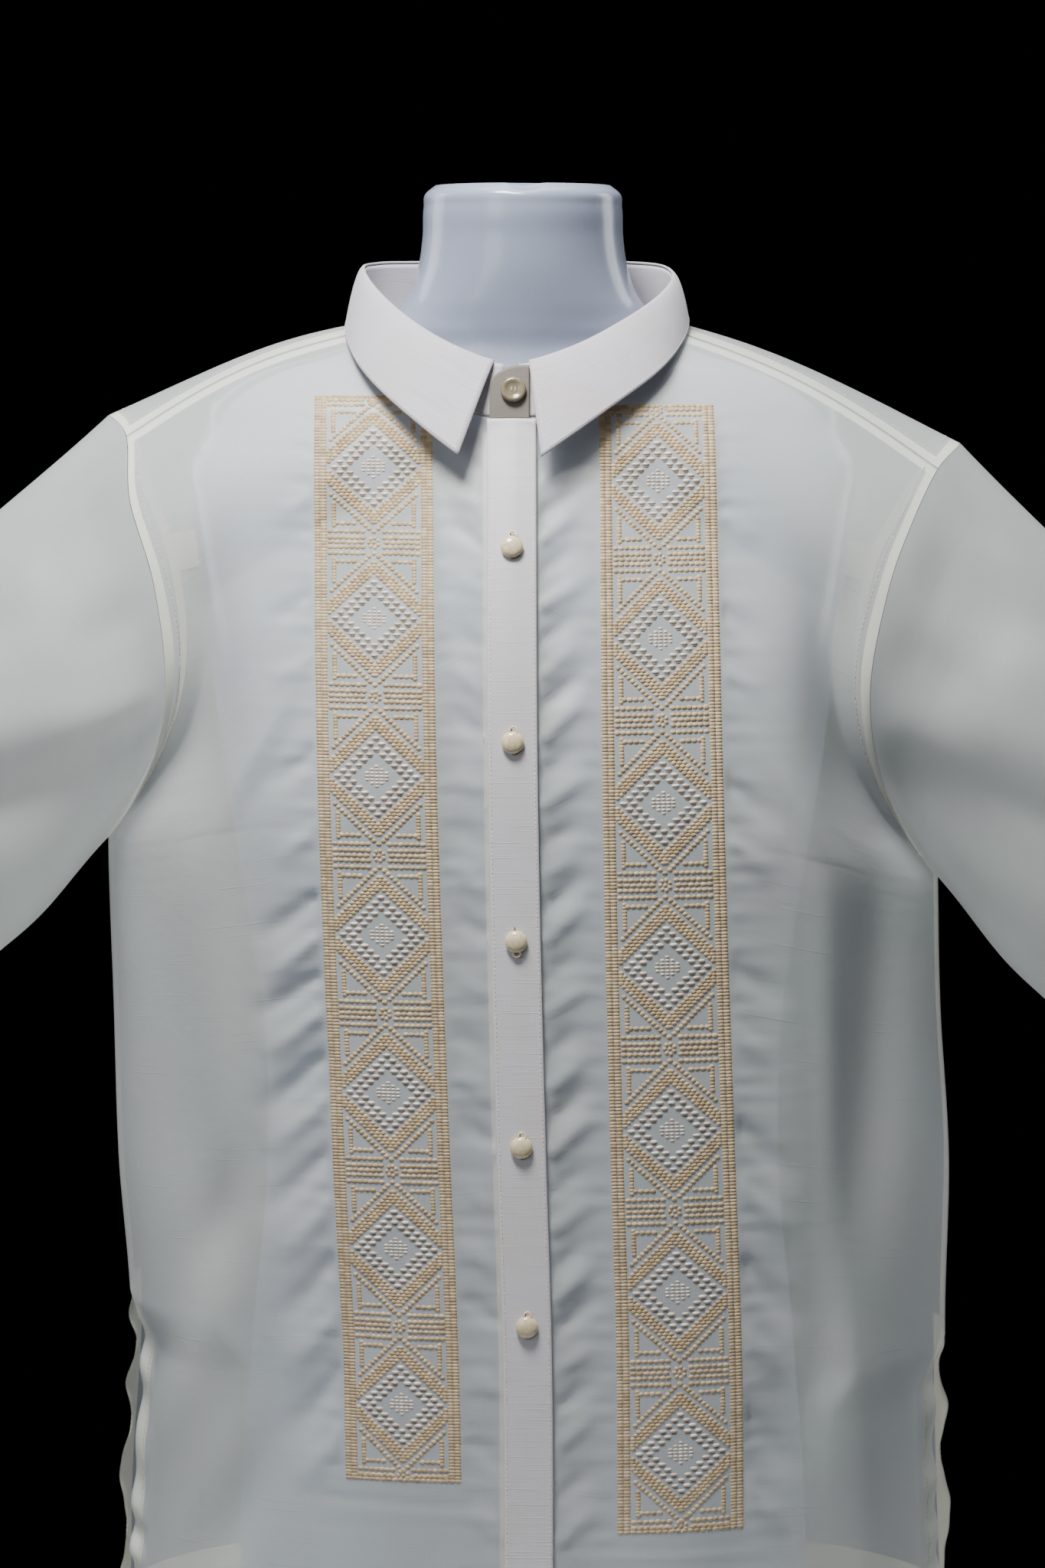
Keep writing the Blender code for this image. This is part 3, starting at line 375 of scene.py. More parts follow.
BAND_PULLS = {
    1: (
        Pull(742, -24, 30, 12, 0.9),
        Pull(694, -38, 34, 13, -1.2),
        Pull(661, -30, 30, 10, 0.9),
        Pull(604, -44, 46, 13, -1.6),
        Pull(571, -40, 38, 12, 1.3),
        Pull(502, -35, 44, 14, -1.3),
        Pull(468, -46, 34, 12, 1.1),
        Pull(418, -52, 56, 15, -1.9),
        Pull(383, -48, 50, 13, 1.5),
        Pull(342, -55, 60, 15, -2.0),
        Pull(301, -50, 42, 13, 1.3),
        Pull(258, -58, 56, 16, -1.7),
        Pull(214, -52, 42, 14, 1.4),
    ),
    -1: (
        Pull(753, 206, 28, 11, 0.9),
        Pull(702, 214, 34, 12, -1.2),
        Pull(668, 210, 30, 11, 0.9),
        Pull(618, 216, 40, 12, -1.5),
        Pull(578, 222, 36, 11, 1.3),
        Pull(541, 218, 52, 13, -2.3),
        Pull(520, 221, 46, 10, 2.0),
        Pull(499, 216, 56, 12, -2.5),
        Pull(478, 219, 50, 11, 2.1),
        Pull(455, 224, 62, 13, -2.6),
        Pull(430, 222, 54, 12, 2.0),
        Pull(403, 227, 66, 14, -2.4),
        Pull(374, 229, 54, 13, 1.8),
        Pull(344, 232, 66, 15, -2.3),
        Pull(312, 230, 56, 14, 1.9),
        Pull(281, 234, 64, 15, -2.1),
        Pull(246, 232, 48, 14, 1.6),
    ),
}

# Finer folds of the back, in the same way as its largest ones
BACK_PULLS = (
    Crease(0.150, 0.600, 68, 0.060, 0.010, -0.0022),
    Crease(-0.152, 0.604, 112, 0.062, 0.010, -0.0024),
    Crease(0.098, 0.640, 84, 0.050, 0.009, 0.0014),
    Crease(-0.090, 0.646, 95, 0.055, 0.009, 0.0015),
    Crease(0.060, 0.655, 88, 0.040, 0.006, -0.0012),
    Crease(-0.055, 0.650, 91, 0.044, 0.006, -0.0013),
    Crease(0.018, 0.656, 90, 0.036, 0.005, 0.0010),
    Crease(-0.020, 0.658, 90, 0.034, 0.005, 0.0011),
    Crease(0.145, 0.420, 76, 0.090, 0.012, -0.0024),
    Crease(-0.140, 0.440, 103, 0.085, 0.012, -0.0026),
    Crease(0.090, 0.310, 82, 0.080, 0.011, 0.0020),
    Crease(-0.085, 0.290, 97, 0.090, 0.012, 0.0022),
    Crease(0.030, 0.520, 86, 0.090, 0.010, -0.0014),
    Crease(-0.030, 0.190, 94, 0.070, 0.012, -0.0020),
    Crease(0.120, 0.170, 86, 0.060, 0.012, -0.0020),
    Crease(-0.130, 0.165, 95, 0.060, 0.012, 0.0018),
    Crease(0.205, 0.380, 88, 0.110, 0.010, 0.0022),
    Crease(-0.205, 0.360, 93, 0.110, 0.010, 0.0020),
)
SLEEVE_PULLS = {
    1: (
        Pucker(0.10, 30, 0.10, 7, 20, -0.0016),
        Pucker(0.12, 88, 0.12, 8, -20, -0.0022),
        Pucker(0.18, 104, 0.16, 8, -34, 0.0020),
        Pucker(0.10, 128, 0.12, 9, -24, -0.0024),
        Pucker(0.16, 150, 0.16, 9, -14, 0.0018),
        Pucker(0.45, 84, 0.26, 9, -48, 0.0024),
        Pucker(0.62, 96, 0.24, 8, -40, -0.0022),
        Pucker(0.55, 40, 0.24, 9, -26, -0.0020),
        Pucker(0.70, 22, 0.20, 8, 12, 0.0014),
        Pucker(0.40, 340, 0.24, 9, 18, -0.0016),
        Pucker(0.16, 236, 0.14, 9, 22, -0.0022),
        Pucker(0.20, 262, 0.16, 8, 30, 0.0018),
        Pucker(0.62, 268, 0.22, 9, 34, -0.0022),
    ),
    -1: (
        Pucker(0.10, 28, 0.10, 7, 16, -0.0014),
        Pucker(0.12, 82, 0.14, 8, -24, -0.0024),
        Pucker(0.20, 100, 0.18, 8, -40, 0.0024),
        Pucker(0.10, 124, 0.12, 9, -26, -0.0026),
        Pucker(0.18, 148, 0.16, 9, -18, 0.0020),
        Pucker(0.42, 92, 0.30, 9, -52, 0.0028),
        Pucker(0.60, 106, 0.26, 9, -46, -0.0026),
        Pucker(0.60, 52, 0.26, 9, -34, -0.0022),
        Pucker(0.72, 74, 0.20, 8, -28, 0.0018),
        Pucker(0.44, 332, 0.24, 9, 16, -0.0018),
        Pucker(0.14, 232, 0.14, 9, 24, -0.0022),
        Pucker(0.24, 258, 0.18, 8, 32, 0.0018),
        Pucker(0.64, 276, 0.22, 9, 30, -0.0020),
    ),
}
# The scallops of the back's edges below the slits, which show beside the fronts
SCALLOP_PITCH = 0.054
SCALLOP_DEPTH = 0.0026
HEM_RIPPLE_PITCH = 0.0340
HEM_RIPPLE_DEPTH = 0.0021
SLIT_FLARE = 0.0105

# The wave that a tight row of stitches puts in the cloth beside it: its height, reach and two pitches
RIPPLE_DEPTH = 0.00042
RIPPLE_REACH = 0.011
RIPPLE_PITCHES = (0.0142, 0.0089)
TRIM_EDGE = 0.0045
PULL_SHARE = 1.3

# The embroidery's chart, in millimetres from the middle of a diamond
BAND_HALF = 33.0
REPEAT_ROWS = 48
REPEAT = 85.0
STITCH_ROW = REPEAT / REPEAT_ROWS
SLANT = 0.93
BORDER_STITCHES = (27.95, 31.35)
LOZENGE = (24.6, 33.0)
LOZENGE_LINE = 37.0
BARS = ((36.25, 4.5), (39.8, 4.5), (42.5, 5.4))
CORNER_UPRIGHT = (22.3, 19.0, 33.0)
CORNER_LEVEL = (31.6, 9.6, 22.3)
CROSSING_RING = (2.7, 7)
DASH_STEP = (3.1, 2.9)
DASH_RINGS = 7

# The button whose wire loop shows below it, where the others' show above
LOOP_BELOW = 3

# Widths of the bands at their bottom and top, in metres
BAND_WIDTHS = {1: (0.0700, 0.0634), -1: (0.0632, 0.0652)}

# The hems: shares of the rows that they take, and how far up the rows the slits go
HEM_SHARE = 0.0235
SLIT_HEM_SHARE = 0.06
BACK_SLIT_HEM_SHARE = 0.10
SLEEVE_HEM_SHARE = 0.105
SLIT_ROW = {1: 0.244, -1: 0.267}

CLOTH_MAP = "cloth"
BODY_HEART = np.array((0.0, BOX_MIDDLE_Y, 0.60))


def smooth(table, at):
    """The columns of a table after its first, on a smooth curve through its rows, one array a column."""
    table = np.array(table, float)
    keys, values = table[:, 0], table[:, 1:]
    at = np.clip(np.asarray(at, float), keys[0], keys[-1])
    below = np.clip(np.searchsorted(keys, at, side="right") - 1, 0, len(keys) - 2)
    slopes = np.gradient(values, keys, axis=0)
    span = (keys[below + 1] - keys[below])[..., None]
    t = (at - keys[below])[..., None] / span
    p, q = values[below], values[below + 1]
    m, n = slopes[below] * span, slopes[below + 1] * span
    found = p + t * (m + t * (3 * (q - p) - 2 * m - n + t * (2 * (p - q) + m + n)))
    return np.moveaxis(found, -1, 0)


def ring(table):
    """A table by angle that goes all the way round, with a turn's rows repeated at both ends."""
    rows = np.array(table, float)
    turn = np.zeros(rows.shape[1])
    turn[0] = 360.0
    return np.vstack([rows[-3:] - turn, rows, rows[:3] + turn])


def step(low, high, at):
    """0 below low, 1 above high, and a soft rise between."""
    t = np.clip((at - low) / (high - low), 0, 1)
    return t * t * (3 - 2 * t)


def mixed(a, b, t):
    return a + (b - a) * t


def points(x, y, z):
    return np.stack(np.broadcast_arrays(x, y, z), axis=-1)


def armhole(side, angle):
    """Points of the armhole seam on one side, 1 for left and -1 for right."""
    y, x_left, z_left, x_right, z_right = smooth(ring(ARMHOLE), np.mod(angle, 360.0))
    return points(x_left, y, z_left) if side > 0 else points(-x_right, y, z_right)


def centre_x(z):
    return smooth(CENTRE_FRONT, z)[0]


def front_share(angle):
    """How much of the centre front's lean a collar point takes: all at the front, none at the back."""
    return (1 + np.cos(np.radians(angle))) / 2


def neckline(side, angle):
    x, y, z = smooth(NECKLINE, angle)
    return points(side * x + centre_x(z) * front_share(angle), y, z)


def underarm_z(side):
    return float(armhole(side, 180.0)[2])


def side_seam(side, z, is_front):
    """The panel's edge below the underarm. Below the slit's top the front's edge hangs further in."""
    left, right, _, _ = smooth(BODY, z)
    half = left if side > 0 else right
    top = underarm_z(side)
    parting = SEAM_GAP / 2 + UNDERARM_PARTING * step(top - 0.04, top, z)
    if not is_front:
        return points(side * half, parting, z)
    slit_top = SLIT_TOP[side]
    open_share = 1 - step(slit_top - SLIT_EASE, slit_top, z)
    y = -parting - SLIT_FORWARD * open_share
    return points(side * (half - SLIT_INSET * open_share), y, z)


def creases(folds, x, z):
    """How far a panel stands out at each point of the front view, from its largest folds."""
    out = np.zeros_like(x)
    for fold in folds:
        way = math.radians(fold.runs)
        along = (x - fold.x) * math.cos(way) + (z - fold.z) * math.sin(way)
        across = (z - fold.z) * math.cos(way) - (x - fold.x) * math.sin(way)
        fade = np.exp(-((along / fold.half_length) ** 4))
        out += fold.depth * fade * np.exp(-((across / fold.half_width) ** 2))
    return out


def panel_rows(side, v, is_front):
    """The inner and the outer end of each row of a body panel, hem to shoulder seam."""
    neck_row = FRONT_NECK_ROW if is_front else BACK_NECK_ROW
    neck_z = NECK_FRONT_Z if is_front else NECK_BACK_Z
    z = mixed(HEM_Z, neck_z, np.minimum(v / neck_row, 1))
    _, _, front, back = smooth(BODY, z)
    middle = points(centre_x(z), -front, z) if is_front else points(0 * z, back, z)
    round_neck = np.clip((v - neck_row) / (1 - neck_row), 0, 1)
    start = 0.0 if is_front else 180.0
    on_neck = neckline(side, mixed(start, NECK_SEAM_ANGLE, round_neck))
    inner = np.where((v > neck_row + ROUNDING)[..., None], on_neck, middle)
    top = SHOULDER_SEAM_ANGLE if is_front else 360.0 + SHOULDER_SEAM_ANGLE
    up_arm = np.clip((v - UNDERARM_ROW) / (1 - UNDERARM_ROW), 0, 1)
    on_arm = armhole(side, mixed(180.0, top, up_arm))
    side_z = mixed(HEM_Z, underarm_z(side), np.minimum(v / UNDERARM_ROW, 1))
    on_side = side_seam(side, side_z, is_front)
    outer = np.where((v > UNDERARM_ROW + ROUNDING)[..., None], on_arm, on_side)
    return inner, outer


def body_surface(side, u, v, is_front, with_creases=True):
    """The middle of the cloth on half a front or half the back.

    u runs from the centre line or neckline to the side seam or armhole, v from hem to shoulder seam."""
    inner, outer = panel_rows(side, v, is_front)
    turn = u * math.pi / 2
    power = 2 / BODY_POWER
    round_x, round_y = np.sin(turn) ** power, 1 - np.cos(turn) ** power
    rounded = 1 - step(UNDERARM_ROW - 0.02, 0.84, v)
    share_x = mixed(u, round_x, rounded)
    share_y = mixed(u**2.1, round_y, rounded)
    lift = SHOULDER_LIFT * step(0.74, 0.94, v) * np.sin(math.pi * u)
    x = mixed(inner[..., 0], outer[..., 0], share_x)
    y = mixed(inner[..., 1], outer[..., 1], share_y)
    # the back's rows cross the centre level, so that the yoke's seam has no kink there, and the yoke's
    # front edge comes down to the front's
    bend = mixed(BACK_ROW_BEND, CREST_ROW_BEND, step(YOKE_ROW, 0.94, v))
    bend = mixed(bend, 1.0, step(0.95, 1.0, v))
    share_z = share_x if is_front else share_x**bend
    z = mixed(inner[..., 2], outer[..., 2], share_z) + lift
    if not with_creases:
        return points(x, y, z)
    folds = FRONT_CREASES[side] if is_front else BACK_CREASES
    # the folds die out towards seams that other pieces share and towards the shoulder,
    # and the embroidered band and the placket stiffen the front
    held = step(0.0, 0.10, 1 - u) * (1 - step(0.78, 0.90, v))
    if is_front:
        held = held * step(0.06, 0.16, u) * mixed(STIFF_SHARE, 1.0, step(0.40, 0.50, u))
    out = creases(folds, x, z) * held
    if is_front:
        out = out + small_pulls(side, x, z) * step(0.0, 0.05, 1 - u) * (1 - step(0.90, 0.98, v))
        out = out + slit_ripples(side, u, z)
    else:
        out = out + creases(BACK_PULLS, x, z) * step(0.0, 0.05, 1 - u)
    lean = np.clip(share_x, 0, 1)
    x = x + side * out * lean * 0.6
    x = x + side * (slit_flare(side, u, z) if is_front else slit_scallops(side, u, z))
    y = y + (-out if is_front else out)
    return points(x, y, z)


def moved_out(surface, u, v, distance):
    """The surface's points moved along its normals, away from the form where the distance is positive."""
    small = 1e-3
    u0, u1 = np.maximum(u - small, 0), np.minimum(u + small, 1)
    v0, v1 = np.maximum(v - small, 0), np.minimum(v + small, 1)
    normal = np.cross(surface(u1, v) - surface(u0, v), surface(u, v1) - surface(u, v0))
    normal /= np.linalg.norm(normal, axis=-1, keepdims=True)
    at = surface(u, v)
    outwards = np.sum(normal * (at - FORM_HEART) * (1, 1, 0.2), axis=-1, keepdims=True)
    return at + normal * np.sign(outwards) * np.asarray(distance)[..., None]


def front_at(side, x, z):
    """The u and v of half a front at points of the front view, by Newton's steps from a first guess."""
    u = np.clip((x - centre_x(z)) * side / 0.30, 0.02, 0.98)
    v = np.clip((z - HEM_Z) / (NECK_FRONT_Z - HEM_Z) * FRONT_NECK_ROW, 0.0, 1.0)
    small = 1e-4
    for _ in range(14):
        here = body_surface(side, u, v, True, False)
        du = (body_surface(side, u + small, v, True, False) - here) / small
        dv = (body_surface(side, u, v + small, True, False) - here) / small
        miss_x, miss_z = x - here[..., 0], z - here[..., 2]
        area = du[..., 0] * dv[..., 2] - dv[..., 0] * du[..., 2]
        area = np.where(np.abs(area) < 1e-9, 1e-9, area)
        u = np.clip(u + np.clip((miss_x * dv[..., 2] - dv[..., 0] * miss_z) / area, -0.2, 0.2), 1e-4, 0.999)
        v = np.clip(v + np.clip((du[..., 0] * miss_z - miss_x * du[..., 2]) / area, -0.2, 0.2), 0.0, 0.9985)
    return u, v


def on_front(side, x, z, distance):
    """Points of the front at places in the front view, moved out by a distance."""
    u, v = front_at(side, x, z)
    return moved_out(lambda a, b: body_surface(side, a, b, True), u, v, distance)


def sleeve_surface(side, along, angle):
    """The middle of a sleeve's cloth, from its armhole seam at along 0 to its hem at along 1."""
    hem = SLEEVE_HEMS[side]
    under = np.array((side * hem.under_x, 0.0, hem.under_z))
    top = np.array((side * hem.top_x, 0.0, hem.top_z))
    middle, long_way = (under + top) / 2, (top - under) / np.linalg.norm(top - under)
    turn = np.radians(angle)[..., None]
    forward = np.array((0.0, -1.0, 0.0))
    at_hem = middle + SLEEVE_HEM_LENGTH * np.cos(turn) * long_way
    at_hem = at_hem + SLEEVE_HEM_DEPTH * np.sin(turn) * forward
    seam = armhole(side, angle)
    run = at_hem - seam
    run /= np.linalg.norm(run, axis=-1, keepdims=True)
    seam = seam + run * ARMHOLE_GAP
    along = along[..., None]
    cloth = mixed(seam, at_hem, along)
    # the cap is a little full just past the seam, and the folds fade at both ends
    centre_line = mixed(armhole(side, np.array([0.0, 90.0, 180.0, 270.0])).mean(axis=0), middle, along)
    away = cloth - centre_line
    away /= np.linalg.norm(away, axis=-1, keepdims=True)
    full = 0.004 * np.sin(math.pi * along) ** 2
    out = np.zeros_like(along)
    for fold in SLEEVE_CREASES[side] + SLEEVE_PULLS[side]:
        slid = np.degrees(turn) - fold.angle - fold.slant * (along - fold.along)
        slid = np.mod(slid + 180.0, 360.0) - 180.0
        fade = np.exp(-(((along - fold.along) / fold.half_along) ** 4))
        out = out + fold.depth * fade * np.exp(-((slid / fold.half_angle) ** 2))
    out = out * step(0.0, 0.12, along) * mixed(1.0, 0.45, step(0.8, 1.0, along))
    return cloth + away * (full + out)


def fold_line(side, angle):
    x, y, z_left, z_right = smooth(FOLD_LINE, angle)
    z = z_left if side > 0 else z_right
    return points(side * x + centre_x(z) * front_share(angle), y, z)


def leaf_edge(side, angle):
    x_left, x_right, y, z_left, z_right = smooth(LEAF_EDGE, angle)
    z = z_left if side > 0 else z_right
    x = x_left if side > 0 else x_right
    return points(side * x + centre_x(z) * front_share(angle), y, z)


def round_collar(line, turn, start):
    """A line given for each side by angle, read as one run from the right front round to the left."""
    angle = mixed(start, 180.0, 1 - np.abs(2 * turn - 1))
    left, right = line(1, angle), line(-1, angle)
    return np.where((turn > 0.5)[..., None], left, right)


def stand_surface(turn, up):
    """The collar's stand, from the neckline seam to the fold. It starts at the button's lap."""
    up = up[..., None]
    seam, fold = round_collar(neckline, turn, STAND_START), round_collar(fold_line, turn, STAND_START)
    inwards = seam * (1, 1, 0)
    inwards = inwards / np.linalg.norm(inwards, axis=-1, keepdims=True)
    seam = seam - inwards * STAND_SEAM_IN + np.array((0, 0, STAND_SEAM_RISE))
    return mixed(seam, fold, up)


def leaf_surface(turn, down):
    """The collar's turned-down leaf, from the fold to its outer edge, bowed over the fold."""
    down = down[..., None]
    fold, edge = round_collar(fold_line, turn, LEAF_START), round_collar(leaf_edge, turn, LEAF_START)
    outwards = fold * (1, 1, 0)
    outwards = outwards / np.linalg.norm(outwards, axis=-1, keepdims=True)
    bow = COLLAR_SLOPE_OUT * np.sqrt(down) * (1 - down) * 2
    return mixed(fold + outwards * COLLAR_SLOPE_OUT, edge, down) + outwards * bow


def placket_surface(half_width, shift, distance, drop=0.0005):
    """A strip down the centre front, made from the fronts' points and moved out."""

    def surface(across, up):
        z = mixed(PLACKET_BOTTOM_Z, NECK_FRONT_Z - drop, up)
        x = centre_x(z) + shift + mixed(-half_width, half_width, across)
        middle = np.abs(x - centre_x(z))
        at = on_front(1, centre_x(z) + np.maximum(middle, 0.002), z, np.full_like(z, distance))
        return points(x, at[..., 1], at[..., 2])

    return surface


def band_levels(side, rows):
    """Heights of an embroidered band's rows, the same length of cloth apart."""
    band = EMBROIDERY[side]
    z = np.linspace(band.bottom_z, band.top_z, 200)
    x = centre_x(z) + side * mixed(band.bottom_x, band.top_x, (z - z[0]) / (z[-1] - z[0]))
    at = on_front(side, x, z, np.zeros_like(z))
    run = np.concatenate([[0], np.cumsum(np.linalg.norm(np.diff(at, axis=0), axis=1))])
    return np.interp(np.linspace(0, run[-1], rows + 1), run, z)


def form_surface(turn, up):
    """The dress form's skin, by the turn round it and the share of its table of rounds."""
    heights = np.array([level.z for level in FORM])
    rows = np.linspace(0, 1, len(heights))
    half, front, back, power = smooth(FORM, np.interp(up, rows, heights))
    angle = turn * 2 * math.pi
    z = np.interp(up, rows, heights)
    share = 2 / power
    across = np.sign(np.sin(angle)) * np.abs(np.sin(angle)) ** share
    depth = -np.sign(np.cos(angle)) * np.abs(np.cos(angle)) ** share
    return points(FORM_MIDDLE_X + half * across, np.where(depth < 0, front, back) * depth, z)


def band_middle(side, z):
    """Where the middle of an embroidered band is in the front view, by height."""
    band = EMBROIDERY[side]
    share = (z - band.bottom_z) / (band.top_z - band.bottom_z)
    return centre_x(z) + side * mixed(band.bottom_x, band.top_x, share)


def band_half(side, z):
    """Half the width of an embroidered band, which is not the same all the way down."""
    band, widths = EMBROIDERY[side], BAND_WIDTHS[side]
    share = np.clip((z - band.bottom_z) / (band.top_z - band.bottom_z), 0, 1)
    return mixed(widths[0], widths[1], share) / 2


def trim_reach(side, x, z):
    """How far a point of the front is past the edge of the placket and of the embroidered band."""
    band = EMBROIDERY[side]
    past_placket = np.abs(x - centre_x(z)) - PLACKET_WIDTH / 2
    past_band = np.abs(x - band_middle(side, z)) - band_half(side, z)
    above, below = z - band.top_z - 0.006, band.bottom_z - 0.006 - z
    return past_placket, np.maximum(past_band, np.maximum(above, below))


def pulls_from(edge_x, way, pulls, x, z):
    """Pulls that start at an edge of the front view and fade along their length."""
    out = np.zeros_like(x)
    for pull in pulls:
        turn = math.radians(pull.runs)
        from_edge, rise = x - edge_x, z - pull.height / 1000
        along = from_edge * math.cos(turn) + rise * math.sin(turn)
        across = rise * math.cos(turn) - from_edge * math.sin(turn)
        length, width = pull.length / 1000, pull.width / 2000
        share = np.clip(along / length, -0.25, 1)
        # narrow at the edge and wider further off
        width = width * (0.55 + 0.75 * np.clip(share, 0, 1))
        fade = step(-0.25, 0.10, share) * (1 - step(0.45, 1.0, share))
        out += PULL_SHARE * pull.depth / 1000 * fade * np.exp(-((across / width) ** 2))
    return out * (way > 0)


def small_pulls(side, x, z):
    """The fine relief of a front, which the placket and the band hold flat."""
    past_placket, past_band = trim_reach(side, x, z)
    free = step(0.0, TRIM_EDGE, past_placket) * step(0.0, TRIM_EDGE, past_band)
    middle = centre_x(z)
    out = pulls_from(middle + side * PLACKET_WIDTH / 2, side * (x - middle), PLACKET_PULLS[side], x, z)
    outer = band_middle(side, z) + side * band_half(side, z)
    out = out + pulls_from(outer, side * (x - outer), BAND_PULLS[side], x, z)
    near_band = np.exp(-np.clip(past_band, 0, 1) / RIPPLE_REACH)
    near_placket = np.exp(-np.clip(past_placket, 0, 1) / RIPPLE_REACH)
    slow, quick = (2 * math.pi * z / pitch for pitch in RIPPLE_PITCHES)
    wave = np.sin(slow + 1.3 * np.sin(slow * 0.23)) + 0.6 * np.sin(quick + 40 * x)
    return (out + RIPPLE_DEPTH * wave * np.maximum(near_band, 0.7 * near_placket)) * free


def slit_scallops(side, u, z):
    """The back's edge below a slit waves in and out."""
    below = 1 - step(SLIT_TOP[side] - 0.02, SLIT_TOP[side], z)
    wave = np.cos(2 * math.pi * z / SCALLOP_PITCH + 1.6 * np.sin(z * 23) + side)
    wave = wave + 0.10 * np.cos(2 * math.pi * z / 0.019 + 2 * side)
    return SCALLOP_DEPTH * wave * below * step(0.93, 1.0, u)


def slit_flare(side, u, z):
    """The front's hem below a slit turns outwards, so that it shows from the front."""
    below = 1 - step(SLIT_TOP[side] - 0.030, SLIT_TOP[side] - 0.002, z)
    return SLIT_FLARE * below * step(0.90, 1.0, u)


def slit_ripples(side, u, z):
    """The front's hem below a slit is drawn up a little by its stitches, in short slanted folds."""
    below = 1 - step(SLIT_TOP[side] - 0.01, SLIT_TOP[side], z)
    turn = 2 * math.pi * z / HEM_RIPPLE_PITCH + 1.3 * np.sin(z * 43) + 2 * side + 14 * (1 - u)
    wave = np.cos(turn) * (0.85 + 0.25 * np.sin(z * 61 + side))
    return HEM_RIPPLE_DEPTH * wave * below * step(0.90, 0.98, u)


def surface_frame(surface, u, v, heart):
    """Points of a surface and the way its cloth faces at each, away from a point inside."""
    small = 1e-3
    u0, u1 = np.maximum(u - small, 0), np.minimum(u + small, 1)
    v0, v1 = np.maximum(v - small, 0), np.minimum(v + small, 1)
    normal = np.cross(surface(u1, v) - surface(u0, v), surface(u, v1) - surface(u, v0))
    normal /= np.linalg.norm(normal, axis=-1, keepdims=True)
    at = surface(u, v)
    way = np.sign(np.sum(normal * (at - heart) * (1, 1, 0.2), axis=-1, keepdims=True))
    return at, normal * way


def read_corners(mesh):
    corners = np.empty(len(mesh.vertices) * 3, np.float32)
    mesh.vertices.foreach_get("co", corners)
    return corners.reshape(-1, 3).astype(float)


def write_corners(mesh, at):
    mesh.vertices.foreach_set("co", np.asarray(at, np.float32).ravel())
    mesh.update()


def add_cloth_map(mesh, places):
    """A map on the mesh, in metres of cloth for a sheet and in lengths of thread for a stitch."""
    layer = mesh.uv_layers.new(name=CLOTH_MAP)
    corner = np.empty(len(mesh.loops), np.int32)
    mesh.loops.foreach_get("vertex_index", corner)
    layer.uv.foreach_set("vector", places[corner].astype(np.float32).ravel())


def new_piece(name, mesh, finish):
    """An object at the origin that carries a mesh and its finish, and rides on the part."""
    mesh.name = name
    mesh.materials.clear()
    mesh.materials.append(finish)
    mesh.shade_smooth()
    piece = bpy.data.objects.new(name, mesh)
    bpy.context.scene.collection.objects.link(piece)
    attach(piece, "root")
    return piece


def mesh_of(shape, name):
    mesh = bpy.data.meshes.new(name)
    shape.to_mesh(mesh)
    shape.free()
    return mesh


def face_away(mesh, heart):
    """Turn a sheet so that its outer side faces away from a point inside."""
    shape = bmesh.new()
    shape.from_mesh(mesh)
    bmesh.ops.recalc_face_normals(shape, faces=shape.faces)
    heart = Vector(heart)
    outwards = sum(
        face.normal.dot(face.calc_center_median() - heart) * face.calc_area() for face in shape.faces
    )
    if outwards < 0:
        bmesh.ops.reverse_faces(shape, faces=shape.faces)
    shape.to_mesh(mesh)
    shape.free()


def sheet_mesh(name, grid, place, size, heart, closed=False):
    """A sheet of cloth divided into a grid, put in space by a surface, with its map in metres of cloth."""
    shape = bmesh.new()
    bmesh.ops.create_grid(shape, x_segments=grid[0], y_segments=grid[1], size=0.5)
    mesh = mesh_of(shape, name)
    flat = read_corners(mesh)[:, :2] + 0.5
    add_cloth_map(mesh, flat * np.array(size))
    write_corners(mesh, place(flat[:, 0], flat[:, 1]) + np.array((0.0, BOX_MIDDLE_Y, 0.0)))
    if closed:
        shape = bmesh.new()
        shape.from_mesh(mesh)
        bmesh.ops.remove_doubles(shape, verts=shape.verts, dist=2e-5)
        shape.to_mesh(mesh)
        shape.free()
    face_away(mesh, heart)
    return mesh


def give_wall(piece, thickness, offset=0.0):
    wall = piece.modifiers.new("wall", "SOLIDIFY")
    wall.thickness = thickness
    wall.offset = offset
    wall.use_even_offset = True


def both_halves(surface):
    """Half a back or yoke given by side, read as one sheet from the right side seam to the left."""

    def place(across, up):
        u = np.abs(2 * across - 1)
        return np.where((across > 0.5)[:, None], surface(1, u, up), surface(-1, u, up))

    return place


def stitch_mesh():
    """One stitch a unit long and wide: the upper half of a low ball with eight sides, full at its ends."""
    shape = bmesh.new()
    bmesh.ops.create_uvsphere(shape, u_segments=8, v_segments=4, radius=0.54)
    bmesh.ops.rotate(shape, verts=shape.verts, matrix=Matrix.Rotation(math.pi / 8, 3, "Z"))
    shoulder = [corner for corner in shape.verts if 0.1 < corner.co.z < 0.5]
    bmesh.ops.scale(shape, verts=shoulder, vec=(1.18, 1.18, 1.0))
    cut = shape.verts[:] + shape.edges[:] + shape.faces[:]
    bmesh.ops.bisect_plane(
        shape, geom=cut, dist=1e-5, plane_co=(0, 0, 0), plane_no=(0, 0, 1), clear_inner=True
    )
    bmesh.ops.scale(shape, verts=shape.verts, vec=(1, 1, 1.85))
    mesh = mesh_of(shape, "stitch")
    add_cloth_map(mesh, read_corners(mesh)[:, :2])
    return mesh


